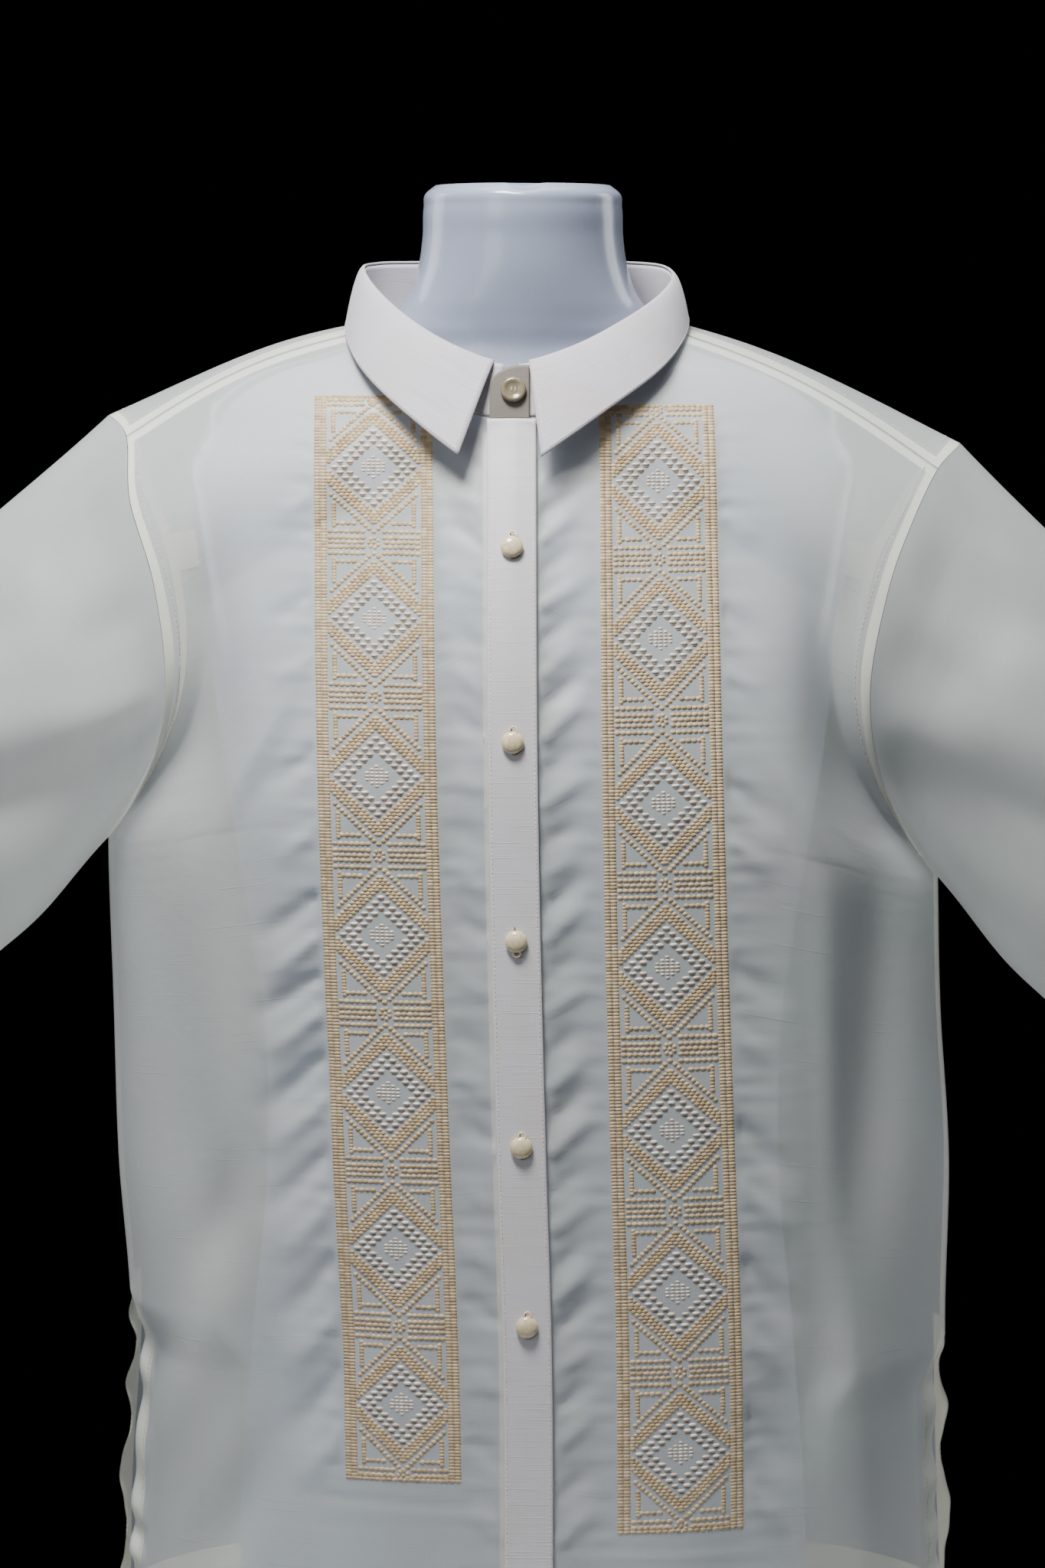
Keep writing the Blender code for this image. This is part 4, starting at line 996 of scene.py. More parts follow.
def many(single, count):
    """A mesh with so many copies of a small one, made by an array, copy after copy."""
    carrier = bpy.data.objects.new("row_of_stitches", single)
    bpy.context.scene.collection.objects.link(carrier)
    row = carrier.modifiers.new("row", "ARRAY")
    row.count = count
    row.use_relative_offset = False
    row.use_constant_offset = True
    row.constant_offset_displace = (2.0, 0.0, 0.0)
    bpy.context.view_layer.update()
    laid = carrier.evaluated_get(bpy.context.evaluated_depsgraph_get())
    mesh = bpy.data.meshes.new_from_object(laid)
    bpy.data.objects.remove(carrier)
    return mesh


def lay_stitches(name, finish, at, along, facing, sizes):
    """Stitches joined in one piece. Each has a place, a way it runs, a way it faces and a size."""
    at = np.asarray(at) + np.array((0.0, BOX_MIDDLE_Y, 0.0))
    along = along - facing * np.sum(along * facing, axis=1, keepdims=True)
    along = along / np.linalg.norm(along, axis=1, keepdims=True)
    beside = np.cross(facing, along)
    sizes = np.broadcast_to(np.asarray(sizes, float), at.shape)
    mesh = many(stitch_mesh(), len(at))
    shape = read_corners(mesh).reshape(len(at), -1, 3)[0]
    spread = sizes[:, None, :] * shape[None]
    corners = at[:, None] + spread[..., 0:1] * along[:, None]
    corners = corners + spread[..., 1:2] * beside[:, None] + spread[..., 2:3] * facing[:, None]
    write_corners(mesh, corners.reshape(-1, 3))
    shade = mesh.attributes.new("shade", "FLOAT", "POINT")
    each = np.random.default_rng(len(at)).random(len(at))
    shade.data.foreach_set("value", np.repeat(each, len(shape)).astype(np.float32))
    return new_piece(name, mesh, finish)


def seam_stitches(runs, pitch):
    """Places, ways and facings of evenly spaced stitches along lines of points with their facings."""
    found = []
    for at, facing in runs:
        run = np.concatenate([[0], np.cumsum(np.linalg.norm(np.diff(at, axis=0), axis=1))])
        middles = (np.arange(int(run[-1] / pitch)) + 0.5) * pitch
        spots = [
            np.stack([np.interp(middles + d, run, at[:, i]) for i in range(3)], 1)
            for d in (-0.0005, 0, 0.0005)
        ]
        faces = np.stack([np.interp(middles, run, facing[:, i]) for i in range(3)], 1)
        faces /= np.linalg.norm(faces, axis=1, keepdims=True)
        found.append((spots[1], spots[2] - spots[0], faces))
    return (np.concatenate(part) for part in zip(*found))


def tinted(colour, *shares):
    """A colour with each part scaled by its own share, or all three by one."""
    return tuple(a * b for a, b in zip(colour, shares * 3 if len(shares) == 1 else shares))


class Finish:
    """A material being put together: its shader, and short ways to add nodes and join them."""

    def __init__(self, name, colour, roughness):
        self.made = bpy.data.materials.new(name)
        self.made.use_nodes = True
        self.tree = self.made.node_tree
        self.shader = self.tree.nodes["Principled BSDF"]
        self.shader.inputs["Base Color"].default_value = (*colour, 1.0)
        self.shader.inputs["Roughness"].default_value = roughness
        self.height = None

    def set(self, **values):
        for name, value in values.items():
            self.shader.inputs[name.replace("_", " ")].default_value = value

    def add(self, kind, **inputs):
        node = self.tree.nodes.new(kind)
        for name, value in inputs.items():
            socket = node.inputs[name.replace("_", " ")]
            if isinstance(value, bpy.types.NodeSocket):
                self.tree.links.new(value, socket)
            else:
                socket.default_value = value
        return node

    def cloth_places(self, scale):
        """The piece's own map, scaled so many times across and along the cloth."""
        own = self.add("ShaderNodeUVMap")
        own.uv_map = CLOTH_MAP
        return self.add("ShaderNodeMapping", Vector=own.outputs["UV"], Scale=scale).outputs["Vector"]

    def object_places(self, scale):
        own = self.add("ShaderNodeTexCoord")
        return self.add("ShaderNodeMapping", Vector=own.outputs["Object"], Scale=scale).outputs["Vector"]

    def noise(self, places, scale, detail=2.0, rough=0.5):
        made = self.add("ShaderNodeTexNoise", Vector=places, Scale=scale, Detail=detail, Roughness=rough)
        return made.outputs["Fac"]

    def bands(self, places, scale, direction, distortion=0.0):
        wave = self.add(
            "ShaderNodeTexWave", Vector=places, Scale=scale, Distortion=distortion, Detail_Scale=1.5
        )
        wave.bands_direction = direction
        return wave.outputs["Fac"]

    def ramp(self, value, low, high, ends=(0.0, 1.0)):
        """A value rescaled from low..high to the two ends, and held to them."""
        made = self.add(
            "ShaderNodeMapRange", Value=value, From_Min=low, From_Max=high, To_Min=ends[0], To_Max=ends[1]
        )
        return made.outputs["Result"]

    def sums(self, kind, a, b):
        made = self.add("ShaderNodeMath")
        made.operation = kind
        for socket, value in zip(made.inputs, (a, b)):
            if isinstance(value, bpy.types.NodeSocket):
                self.tree.links.new(value, socket)
            else:
                socket.default_value = value
        return made.outputs["Value"]

    def mix(self, share, a, b, kind="MIX"):
        made = self.add("ShaderNodeMix")
        made.data_type = "RGBA"
        made.blend_type = kind
        for index, value in ((0, share), (6, a), (7, b)):
            if isinstance(value, bpy.types.NodeSocket):
                self.tree.links.new(value, made.inputs[index])
            else:
                made.inputs[index].default_value = value if index == 0 else (*value, 1.0)
        return made.outputs[2]

    def colour(self, socket):
        self.tree.links.new(socket, self.shader.inputs["Base Color"])

    def roughness(self, socket):
        self.tree.links.new(socket, self.shader.inputs["Roughness"])

    def bump(self, height, strength, distance):
        """Relief on top of any that the finish already has."""
        made = self.add("ShaderNodeBump", Height=height, Strength=strength, Distance=distance)
        if self.height is not None:
            self.tree.links.new(self.height, made.inputs["Normal"])
        self.height = made.outputs["Normal"]
        self.tree.links.new(self.height, self.shader.inputs["Normal"])


def woven_height(finish, pitch):
    """The crossing threads of a plain weave, from 0 in the gaps to 1 on the threads."""
    scale = 0.314 / pitch
    places = finish.cloth_places((1, 1, 1))
    warp = finish.bands(places, scale, "X", 0.6)
    weft = finish.bands(places, scale, "Y", 0.6)
    return finish.sums("MAXIMUM", warp, weft)


def slubs(finish, length, thickness, sparse):
    """Uneven thick threads that run across the cloth, few and far between."""
    places = finish.cloth_places((1 / length, 1 / thickness, 1))
    streaks = finish.noise(places, 1.0, 1.0)
    return finish.ramp(streaks, sparse, sparse + 0.12)


def sheer_finish(name, look, opacity, tint=(1.0, 1.0, 1.0)):
    """Crisp see-through cloth with a satin shine, fine threads and a few slubs."""
    colour = tuple(a * b for a, b in zip(look.cloth_colour, tint))
    cloth = Finish(name, colour, 0.40)
    weave = woven_height(cloth, look.weave)
    slub = slubs(cloth, 0.075, 0.0011, 0.66)
    cool = tinted(colour, 0.93, 0.985, 0.97)
    thread = tinted(colour, 0.86, 0.80, 0.68)
    cloudy = cloth.noise(cloth.object_places((1, 1, 1)), 13.0, 3.0)
    base = cloth.mix(cloth.ramp(cloudy, 0.38, 0.64), colour, cool)
    gaps = cloth.ramp(weave, 0.55, 0.95, (0.16, 0.0))
    base = cloth.mix(gaps, base, tinted(colour, 0.66))
    base = cloth.mix(cloth.sums("MULTIPLY", slub, 0.30), base, thread)
    cloth.colour(base)
    glint = cloth.noise(cloth.cloth_places((260, 900, 1)), 1.0, 2.0)
    cloth.roughness(cloth.ramp(glint, 0.30, 0.72, (0.30, 0.50)))
    cloth.bump(weave, 0.22, 0.00022)
    cloth.bump(slub, 0.30, 0.00025)
    crinkle = cloth.noise(cloth.cloth_places((95, 150, 1)), 1.0, 4.0, 0.55)
    cloth.bump(crinkle, 0.16, 0.0011)
    cloth.set(Alpha=opacity, Sheen_Weight=0.12, Sheen_Roughness=0.35, Specular_IOR_Level=0.5)
    return cloth.made


def lined_finish(name, look, tint=(1.0, 1.0, 1.0)):
    """Two layers of the cloth over a stiff lining: opaque, pale, with fine slubs across it."""
    colour = tuple(a * b for a, b in zip(look.lined_colour, tint))
    cloth = Finish(name, colour, 0.62)
    weave = woven_height(cloth, look.weave)
    slub = slubs(cloth, 0.032, 0.0009, 0.60)
    faint = cloth.noise(cloth.cloth_places((28, 620, 1)), 1.0, 2.0)
    cream = tinted(colour, 0.97, 0.90, 0.82)
    cloudy = cloth.noise(cloth.object_places((1, 1, 1)), 24.0, 2.0)
    base = cloth.mix(cloth.ramp(faint, 0.40, 0.68, (0.0, 0.55)), colour, tinted(colour, 0.93))
    base = cloth.mix(cloth.ramp(cloudy, 0.40, 0.66, (0.0, 0.5)), base, cream)
    base = cloth.mix(cloth.sums("MULTIPLY", slub, 0.28), base, tinted(colour, 0.82, 0.72, 0.66))
    cloth.colour(base)
    cloth.roughness(cloth.ramp(faint, 0.3, 0.7, (0.54, 0.70)))
    cloth.bump(weave, 0.25, 0.0002)
    cloth.bump(slub, 0.30, 0.0002)
    soft = cloth.noise(cloth.object_places((1, 1, 1)), 60.0, 2.0)
    cloth.bump(soft, 0.10, 0.0012)
    cloth.set(Sheen_Weight=0.15, Sheen_Roughness=0.4)
    return cloth.made


def thread_finish(name, colour, roughness, twist):
    """Silky thread: strands along each stitch, and no two stitches quite the same shade."""
    thread = Finish(name, colour, roughness)
    strands = thread.bands(thread.cloth_places((1, twist, 1)), 1.0, "DIAGONAL", 0.4)
    own = thread.add("ShaderNodeAttribute")
    own.attribute_name = "shade"
    shade = own.outputs["Fac"]
    dark = tinted(colour, 0.74, 0.68, 0.60)
    light = tuple(min(a * b, 0.95) for a, b in zip(colour, (1.14, 1.13, 1.12)))
    base = thread.mix(shade, dark, light)
    base = thread.mix(thread.ramp(strands, 0.0, 0.6, (0.30, 0.0)), base, dark)
    thread.colour(base)
    thread.roughness(thread.ramp(shade, 0.0, 1.0, (roughness + 0.08, roughness - 0.08)))
    thread.bump(strands, 0.35, 0.00015)
    thread.set(Sheen_Weight=0.2, Sheen_Roughness=0.35)
    return thread.made


def pearl_finish(name, colour):
    """Pearly resin, with faint clouds and rings under a hard gloss."""
    pearl = Finish(name, colour, 0.16)
    clouds = pearl.noise(pearl.object_places((1, 1, 1)), 420.0, 3.0)
    lightest = tuple(min(a * 1.1, 0.95) for a in colour)
    base = pearl.mix(pearl.ramp(clouds, 0.35, 0.68), tinted(colour, 0.86), lightest)
    warm = pearl.noise(pearl.object_places((1, 1, 1.7)), 160.0, 1.0)
    base = pearl.mix(pearl.ramp(warm, 0.45, 0.7, (0.0, 0.4)), base, tinted(colour, 1.05, 0.92, 0.78))
    pearl.colour(base)
    pearl.roughness(pearl.ramp(clouds, 0.3, 0.7, (0.12, 0.24)))
    pearl.bump(clouds, 0.06, 0.0004)
    pearl.set(Coat_Weight=0.6, Coat_Roughness=0.06)
    return pearl.made


def gloss_finish(name, colour):
    """Glossy lacquer over a moulded body, with the faintest orange peel and scuffs."""
    gloss = Finish(name, colour, 0.22)
    peel = gloss.noise(gloss.object_places((1, 1, 1)), 380.0, 2.0)
    drift = gloss.noise(gloss.object_places((1, 1, 1)), 9.0, 2.0)
    scuffs = gloss.noise(gloss.object_places((60, 60, 7)), 1.0, 4.0, 0.65)
    base = gloss.mix(gloss.ramp(drift, 0.35, 0.65, (0.0, 0.5)), colour, tinted(colour, 0.96, 0.97, 1.0))
    base = gloss.mix(gloss.ramp(scuffs, 0.66, 0.78, (0.0, 0.14)), base, (0.42, 0.42, 0.44))
    gloss.colour(base)
    gloss.roughness(gloss.ramp(scuffs, 0.40, 0.75, (0.20, 0.36)))
    gloss.bump(peel, 0.04, 0.0004)
    gloss.set(Coat_Weight=0.35, Coat_Roughness=0.12)
    return gloss.made


def floor_finish(name, colour):
    floor = Finish(name, colour, 0.75)
    grain = floor.noise(floor.object_places((1, 1, 1)), 90.0, 4.0)
    floor.colour(floor.mix(floor.ramp(grain, 0.3, 0.7), colour, tinted(colour, 0.94)))
    floor.bump(grain, 0.05, 0.001)
    return floor.made


def shared_finish(name, make, *settings):
    """The finish of that name, made the first time that a piece asks for it."""
    return bpy.data.materials.get(name) or make(name, *settings)


# Cloth pieces

INSIDE = 0.00045
EASE = 0.030
EASE_TAPS = ((-1.0, 1), (-0.5, 2), (0.0, 3), (0.5, 2), (1.0, 1))


def eased(side, u, v, is_front, start):
    """Half a panel with the fold that its rows make beside the underarm rounded off, short of the seam."""
    plain = body_surface(side, u, v, is_front)
    near = 1 - step(1.0, 2.2, np.abs(v - UNDERARM_ROW) / EASE)
    share = near * step(start, start + 0.12, u) * (1 - step(0.90, 0.985, u))
    total = sum(weight for _, weight in EASE_TAPS)
    round_off = sum(
        weight / total * body_surface(side, u, v + tap * EASE * near, is_front) for tap, weight in EASE_TAPS
    )
    return mixed(plain, round_off, share[..., None])


def front_place(side):
    inner = 0.006 if side > 0 else 0.0

    def place(across, up):
        v = np.minimum(up, 1 - SHOULDER_INSET)
        edge = mixed(inner, NECK_PARTING, step(0.76, FRONT_NECK_ROW, v)) / FRONT_RUN
        return eased(side, mixed(edge, 1.0, across), v, True, 0.50)

    return place


def strip_place(side, is_front, u_ends, v_ends, distance=-INSIDE):
    """A strip of half a panel between two shares across and two up, a little inside the cloth."""

    def place(across, up):
        u = mixed(u_ends[0], u_ends[1], across)
        v = mixed(v_ends[0], v_ends[1], up)
        surface = lambda a, b: body_surface(side, a, b, is_front)
        return moved_out(surface, u, v, np.full_like(u, distance))

    return place


def sheer_sheet(name, grid, place, size, finish, node, heart=BODY_HEART, closed=False):
    """A sheer sheet that stands for a solid of the part."""
    piece = new_piece(name, sheet_mesh(name, grid, place, size, heart, closed), finish)
    if node:
        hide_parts(node)
    return piece


def make_fronts(look):
    sheer = shared_finish("sheer_cloth", sheer_finish, look, look.opacity)
    for name, side in (("front_left", 1), ("front_right", -1)):
        sheer_sheet(name + "_cloth", (130, 290), front_place(side), (0.29, 0.75), sheer, name)


def make_back_and_yoke(look):
    sheer = shared_finish("sheer_cloth", sheer_finish, look, look.opacity)
    top = YOKE_ROW - SHOULDER_INSET
    back = both_halves(lambda side, u, up: eased(side, u, mixed(0.0, top, up), False, 0.15))
    sheer_sheet("back_cloth", (200, 220), back, (0.58, 0.62), sheer, "back")
    low, high = YOKE_ROW, 1 - SHOULDER_INSET
    yoke = both_halves(lambda side, u, up: body_surface(side, u, mixed(low, high, up), False))
    sheer_sheet("yoke_cloth", (160, 56), yoke, (0.47, 0.13), sheer, "yoke")


def sleeve_heart(side):
    hem = SLEEVE_HEMS[side]
    middle = np.array((side * (hem.under_x + hem.top_x) / 2, 0.0, (hem.under_z + hem.top_z) / 2))
    seam = armhole(side, np.array([0.0, 90.0, 180.0, 270.0])).mean(axis=0)
    return (middle + seam) / 2 + np.array((0.0, BOX_MIDDLE_Y, 0.0))


def make_sleeves(look):
    sheer = shared_finish("sheer_cloth", sheer_finish, look, look.opacity)
    for name, side in (("sleeve_left", 1), ("sleeve_right", -1)):
        place = lambda across, up, side=side: sleeve_surface(side, up, 180.0 + 360.0 * across)
        heart = sleeve_heart(side)
        sheer_sheet(name + "_cloth", (220, 100), place, (0.50, 0.26), sheer, name, heart, True)


def make_collar(look):
    lined = shared_finish("collar_cloth", lined_finish, look, (0.80, 0.79, 0.82))
    heart = np.array((0.0, BOX_MIDDLE_Y, 0.84))
    stand = sheet_mesh("collar_stand_cloth", (180, 14), stand_surface, (0.40, 0.034), heart)
    stand = new_piece("collar_stand_cloth", stand, lined)
    leaf = sheet_mesh("collar_leaf_cloth", (220, 26), folded_leaf, (0.43, 0.055), heart)
    leaf = new_piece("collar_leaf_cloth", leaf, lined)
    tab = sheet_mesh("stand_tab_cloth", (30, 20), tab_surface, (0.0165, 0.028), heart)
    # The tab's cloth gets a much darker tint than the collar's: painted shadow of the collar's leaf over it.
    painted_shadow_finish = shared_finish("tab_cloth", lined_finish, look, (0.27, 0.25, 0.205))
    tab = new_piece("stand_tab_cloth", tab, painted_shadow_finish)
    for piece, node in ((stand, "collar_stand"), (leaf, "collar_leaf"), (tab, "stand_tab")):
        give_wall(piece, 0.0011)
        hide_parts(node)


def folded_leaf(turn, down):
    """The collar's leaf, with its first tenth rolled over the top of the stand."""
    roll = np.clip(down / 0.1, 0, 1)[..., None]
    fold = round_collar(fold_line, turn, LEAF_START)
    outwards = fold * (1, 1, 0)
    outwards = outwards / np.linalg.norm(outwards, axis=-1, keepdims=True)
    arc = roll * math.pi / 2
    over = fold + outwards * COLLAR_SLOPE_OUT * np.sin(arc) + np.array((0, 0, 0.0013)) * np.cos(arc)
    rest = leaf_surface(turn, np.clip((down - 0.1) / 0.9, 0, 1))
    return np.where(roll < 1, over, rest)


def tab_surface(across, up):
    """The rounded end of the stand that laps over and carries the collar's button."""
    side = np.full_like(across, 1.0)
    stand = stand_surface(side, up)
    x = centre_x(stand[..., 2]) + mixed(-TAB_REACH_OVER, TAB_REACH, across)
    from_round = np.clip((TAB_ROUND_FROM - across) / TAB_ROUND_FROM, 0, 1)
    round_off = (1 - np.sqrt(1 - from_round**2)) * TAB_ROUND
    stand = stand_surface(side, up * TAB_TOP * (1 - round_off))
    # its lower edge is tucked in behind the placket's top
    tucked = (1 - up) ** 3
    return points(x, stand[..., 1] - LAP_LAYER + 0.0003 * tucked, stand[..., 2] - TAB_TUCK * tucked)


def make_placket(look):
    over = placket_surface(PLACKET_WIDTH / 2, 0.0, LAYER)
    placket = sheet_mesh("placket_cloth", (24, 300), over, (PLACKET_WIDTH, 0.71), BODY_HEART)
    placket = new_piece("placket_cloth", placket, shared_finish("lined_cloth", lined_finish, look))
    under = placket_surface(BAND_WIDTH / 2, BAND_SHIFT, -LAYER, UNDER_BAND_DROP)
    band = sheet_mesh("button_band_cloth", (12, 200), under, (BAND_WIDTH, 0.70), BODY_HEART)
    under_cloth = shared_finish("under_band_cloth", lined_finish, look, (0.90, 0.87, 0.74))
    band = new_piece("button_band_cloth", band, under_cloth)
    for piece, node in ((placket, "placket"), (band, "button_band")):
        give_wall(piece, 0.0009)
        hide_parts(node)


def make_form(look):
    mesh = sheet_mesh("dress_form_body", (120, 150), slim_form, (1.0, 0.92), BODY_HEART, True)
    shape = bmesh.new()
    shape.from_mesh(mesh)
    rims = [edge for edge in shape.edges if edge.is_boundary]
    bmesh.ops.holes_fill(shape, edges=rims, sides=0)
    bmesh.ops.recalc_face_normals(shape, faces=shape.faces)
    shape.to_mesh(mesh)
    shape.free()
    form = new_piece("dress_form_body", mesh, shared_finish("form_gloss", gloss_finish, look.form_colour))
    mesh.set_sharp_from_angle(angle=math.radians(40))
    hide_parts("dress_form")


def slim_form(turn, up):
    """The form's skin, a hair inside the solid's, so that it stays under the cloth, with the neck's notch."""
    at = form_surface(turn, up)
    at[:, 0] = FORM_MIDDLE_X + (at[:, 0] - FORM_MIDDLE_X) * 0.9955
    at[:, 1] *= 0.992
    near = 1 - step(0.004, 0.0105, np.abs(at[:, 0]))
    at[:, 2] -= 0.0018 * near * step(0.9165, 0.924, at[:, 2])
    return at


# Hems and seams: second layers of the cloth, on the inside

def joined(name, meshes):
    """Several sheets as one mesh, with their maps."""
    shape = bmesh.new()
    for mesh in meshes:
        shape.from_mesh(mesh)
        bpy.data.meshes.remove(mesh)
    return mesh_of(shape, name)


def front_strips(side):
    """A front's hem, slit hem, side seam, armhole seam and shoulder seam, as shares across and up it."""
    slit = SLIT_ROW[side]
    return (
        ((0.02, 1.0), (0.0, HEM_SHARE), (110, 6)),
        ((1 - SLIT_HEM_SHARE, 1.0), (HEM_SHARE, slit), (6, 90)),
        ((0.965, 1.0), (slit, UNDERARM_ROW), (4, 120)),
        ((0.974, 1.0), (UNDERARM_ROW, 0.998), (4, 150)),
        ((0.0, 1.0), (0.988, 0.9985), (70, 4)),
    )


def back_strips(side):
    slit = SLIT_ROW[side]
    return (
        ((0.0, 1.0), (0.0, HEM_SHARE), (90, 6)),
        ((1 - BACK_SLIT_HEM_SHARE, 1.0), (HEM_SHARE, slit), (12, 110)),
        ((0.965, 1.0), (slit, UNDERARM_ROW), (4, 120)),
        ((0.974, 1.0), (UNDERARM_ROW, YOKE_ROW), (4, 70)),
        ((0.0, 1.0), (YOKE_ROW - 0.012, YOKE_ROW - SHOULDER_INSET), (80, 4)),
    )


def yoke_strips(side):
    return (
        ((0.974, 1.0), (YOKE_ROW, 0.998), (4, 60)),
        ((0.0, 1.0), (YOKE_ROW, YOKE_ROW + 0.012), (80, 4)),
        ((0.02, 1.0), (0.990, 0.9985), (70, 4)),
    )


def make_strips(name, is_front, sides, strips, finish):
    """The second layers of one panel, joined."""
    meshes = []
    for side in sides:
        for u_ends, v_ends, grid in strips(side):
            place = strip_place(side, is_front, u_ends, v_ends)
            size = (0.30 * (u_ends[1] - u_ends[0]), 0.95 * (v_ends[1] - v_ends[0]))
            meshes.append(sheet_mesh("strip", grid, place, size, BODY_HEART))
    piece = new_piece(name, joined(name, meshes), finish)


def make_hems(look):
    folded = shared_finish("folded_cloth", sheer_finish, look, look.seam_opacity, look.seam_tint)
    make_strips("front_left_hems", True, (1,), front_strips, folded)
    make_strips("front_right_hems", True, (-1,), front_strips, folded)
    make_strips("back_hems", False, (1, -1), back_strips, folded)
    make_strips("yoke_seams", False, (1, -1), yoke_strips, folded)
    for name, side in (("sleeve_left", 1), ("sleeve_right", -1)):
        heart = sleeve_heart(side)
        meshes = []
        place = sleeve_strip(side, 1 - SLEEVE_HEM_SHARE, 0.999)
        meshes.append(sheet_mesh("strip", (200, 14), place, (0.48, 0.26 * SLEEVE_HEM_SHARE), heart, True))
        piece = new_piece(name + "_hem", joined(name + "_hem", meshes), folded)


def sleeve_strip(side, low, high, distance=-INSIDE):
    """A band round a sleeve, a little inside its cloth."""
    local_heart = sleeve_heart(side) - np.array((0.0, BOX_MIDDLE_Y, 0.0))

    def surface(around, along):
        return sleeve_surface(side, along, 180.0 + 360.0 * around)

    def place(across, up):
        along = mixed(low, high, up)
        start = surface_frame(surface, np.where(across > 0.999, 0.0, across), along, local_heart)[1]
        return surface(np.where(across > 0.9999, 0.0, across), along) + start * distance

    return place


# Sewing that shows

def line_on(surface, across, up, heart=FORM_HEART, raise_by=0.0):
    """A line of points on a surface, with the way that it faces at each."""
    across, up = np.broadcast_arrays(np.asarray(across, float), np.asarray(up, float))
    at, facing = surface_frame(surface, across, up, heart)
    return at + facing * raise_by, facing


def body_line(side, is_front, across, up, raise_by=0.0):
    return line_on(lambda a, b: body_surface(side, a, b, is_front), across, up, FORM_HEART, raise_by)


def make_sewing(look, threads):
    cream = shared_finish("cream_thread", thread_finish, look.seam_thread, 0.45, 5.0)
    pale = shared_finish("pale_thread", thread_finish, threads.pale_thread, 0.45, 5.0)
    full = np.linspace(0, 1, 400)
    over = placket_surface(PLACKET_WIDTH / 2, 0.0, LAYER + 0.00045)
    placket = [line_on(over, across, full[1:-1]) for across in (0.055, 0.945)]
    lay_stitches("placket_sewing", pale, *seam_stitches(placket, 0.0024), (0.0019, 0.00042, 0.00022))
    edge = [line_on(folded_leaf, np.linspace(0.004, 0.996, 500), 0.968, (0, 0, 0.84), 0.0006)]
    for turn in (0.0045, 0.9955):
        edge.append(line_on(folded_leaf, turn, np.linspace(0.12, 0.968, 80), (0, 0, 0.84), 0.0006))
    lay_stitches("collar_sewing", pale, *seam_stitches(edge, 0.0024), (0.0019, 0.0004, 0.0002))
    lines = []
    for side in (1, -1):
        slit = SLIT_ROW[side]
        up_slit = np.linspace(0.002, slit, 150)
        up_arm = np.linspace(UNDERARM_ROW + 0.004, 0.994, 200)
        up_back = np.linspace(UNDERARM_ROW + 0.004, YOKE_ROW - 0.004, 120)
        for is_front in (True, False):
            lines.append(body_line(side, is_front, np.linspace(0.05, 0.995, 240), HEM_SHARE - 0.002))
            lines.append(body_line(side, is_front, 1 - SLIT_HEM_SHARE + 0.006, up_slit))
        lines.append(body_line(side, True, 0.962, up_arm))
        lines.append(body_line(side, False, 0.962, up_back))
        lines.append(body_line(side, False, 0.962, np.linspace(YOKE_ROW + 0.004, 0.99, 100)))
        lines.append(body_line(side, False, np.linspace(0.0, 0.995, 200), YOKE_ROW + 0.006))
        lines.append(body_line(side, False, np.linspace(0.04, 0.99, 140), 0.988))
        heart = sleeve_heart(side) - np.array((0.0, BOX_MIDDLE_Y, 0.0))
        sleeve = lambda a, b, side=side: sleeve_surface(side, b, 180.0 + 360.0 * a)
        lines.append(line_on(sleeve, full, 1 - SLEEVE_HEM_SHARE + 0.006, heart))
    lay_stitches("seam_sewing", cream, *seam_stitches(lines, 0.0030), (0.0023, 0.00042, 0.00022))


# Embroidery

def stitched_run(low, high, up, longest):
    """Stitches end to end between two distances from the middle, on both sides, or right across it."""
    ends = (-high, high) if low <= 0.4 else (low, high)
    count = max(1, round((ends[1] - ends[0]) / longest))
    marks = np.linspace(*ends, count + 1)
    right = [((a + b) / 2, up, b - a, 0.0) for a, b in zip(marks, marks[1:])]
    return right if low <= 0.4 else right + [(-x, up, long, 0.0) for x, up, long, _ in right]


def both_sides(across, up, long):
    return [(across, up, long, 0.0), (-across, up, long, 0.0)]


def charted_crossing(up):
    """Where two repeats meet: the middle bar, and a small ring of stitches round a dot."""
    radius, count = CROSSING_RING
    made = stitched_run(BARS[2][1], 26.0, up, 3.3) + [(0.0, up, 2.0, 0.0)]
    for i in range(count):
        turn = 2 * math.pi * (i + 0.5) / count
        made.append((radius * math.cos(turn), up + radius * math.sin(turn), 2.1, turn + math.pi / 2))
    return made


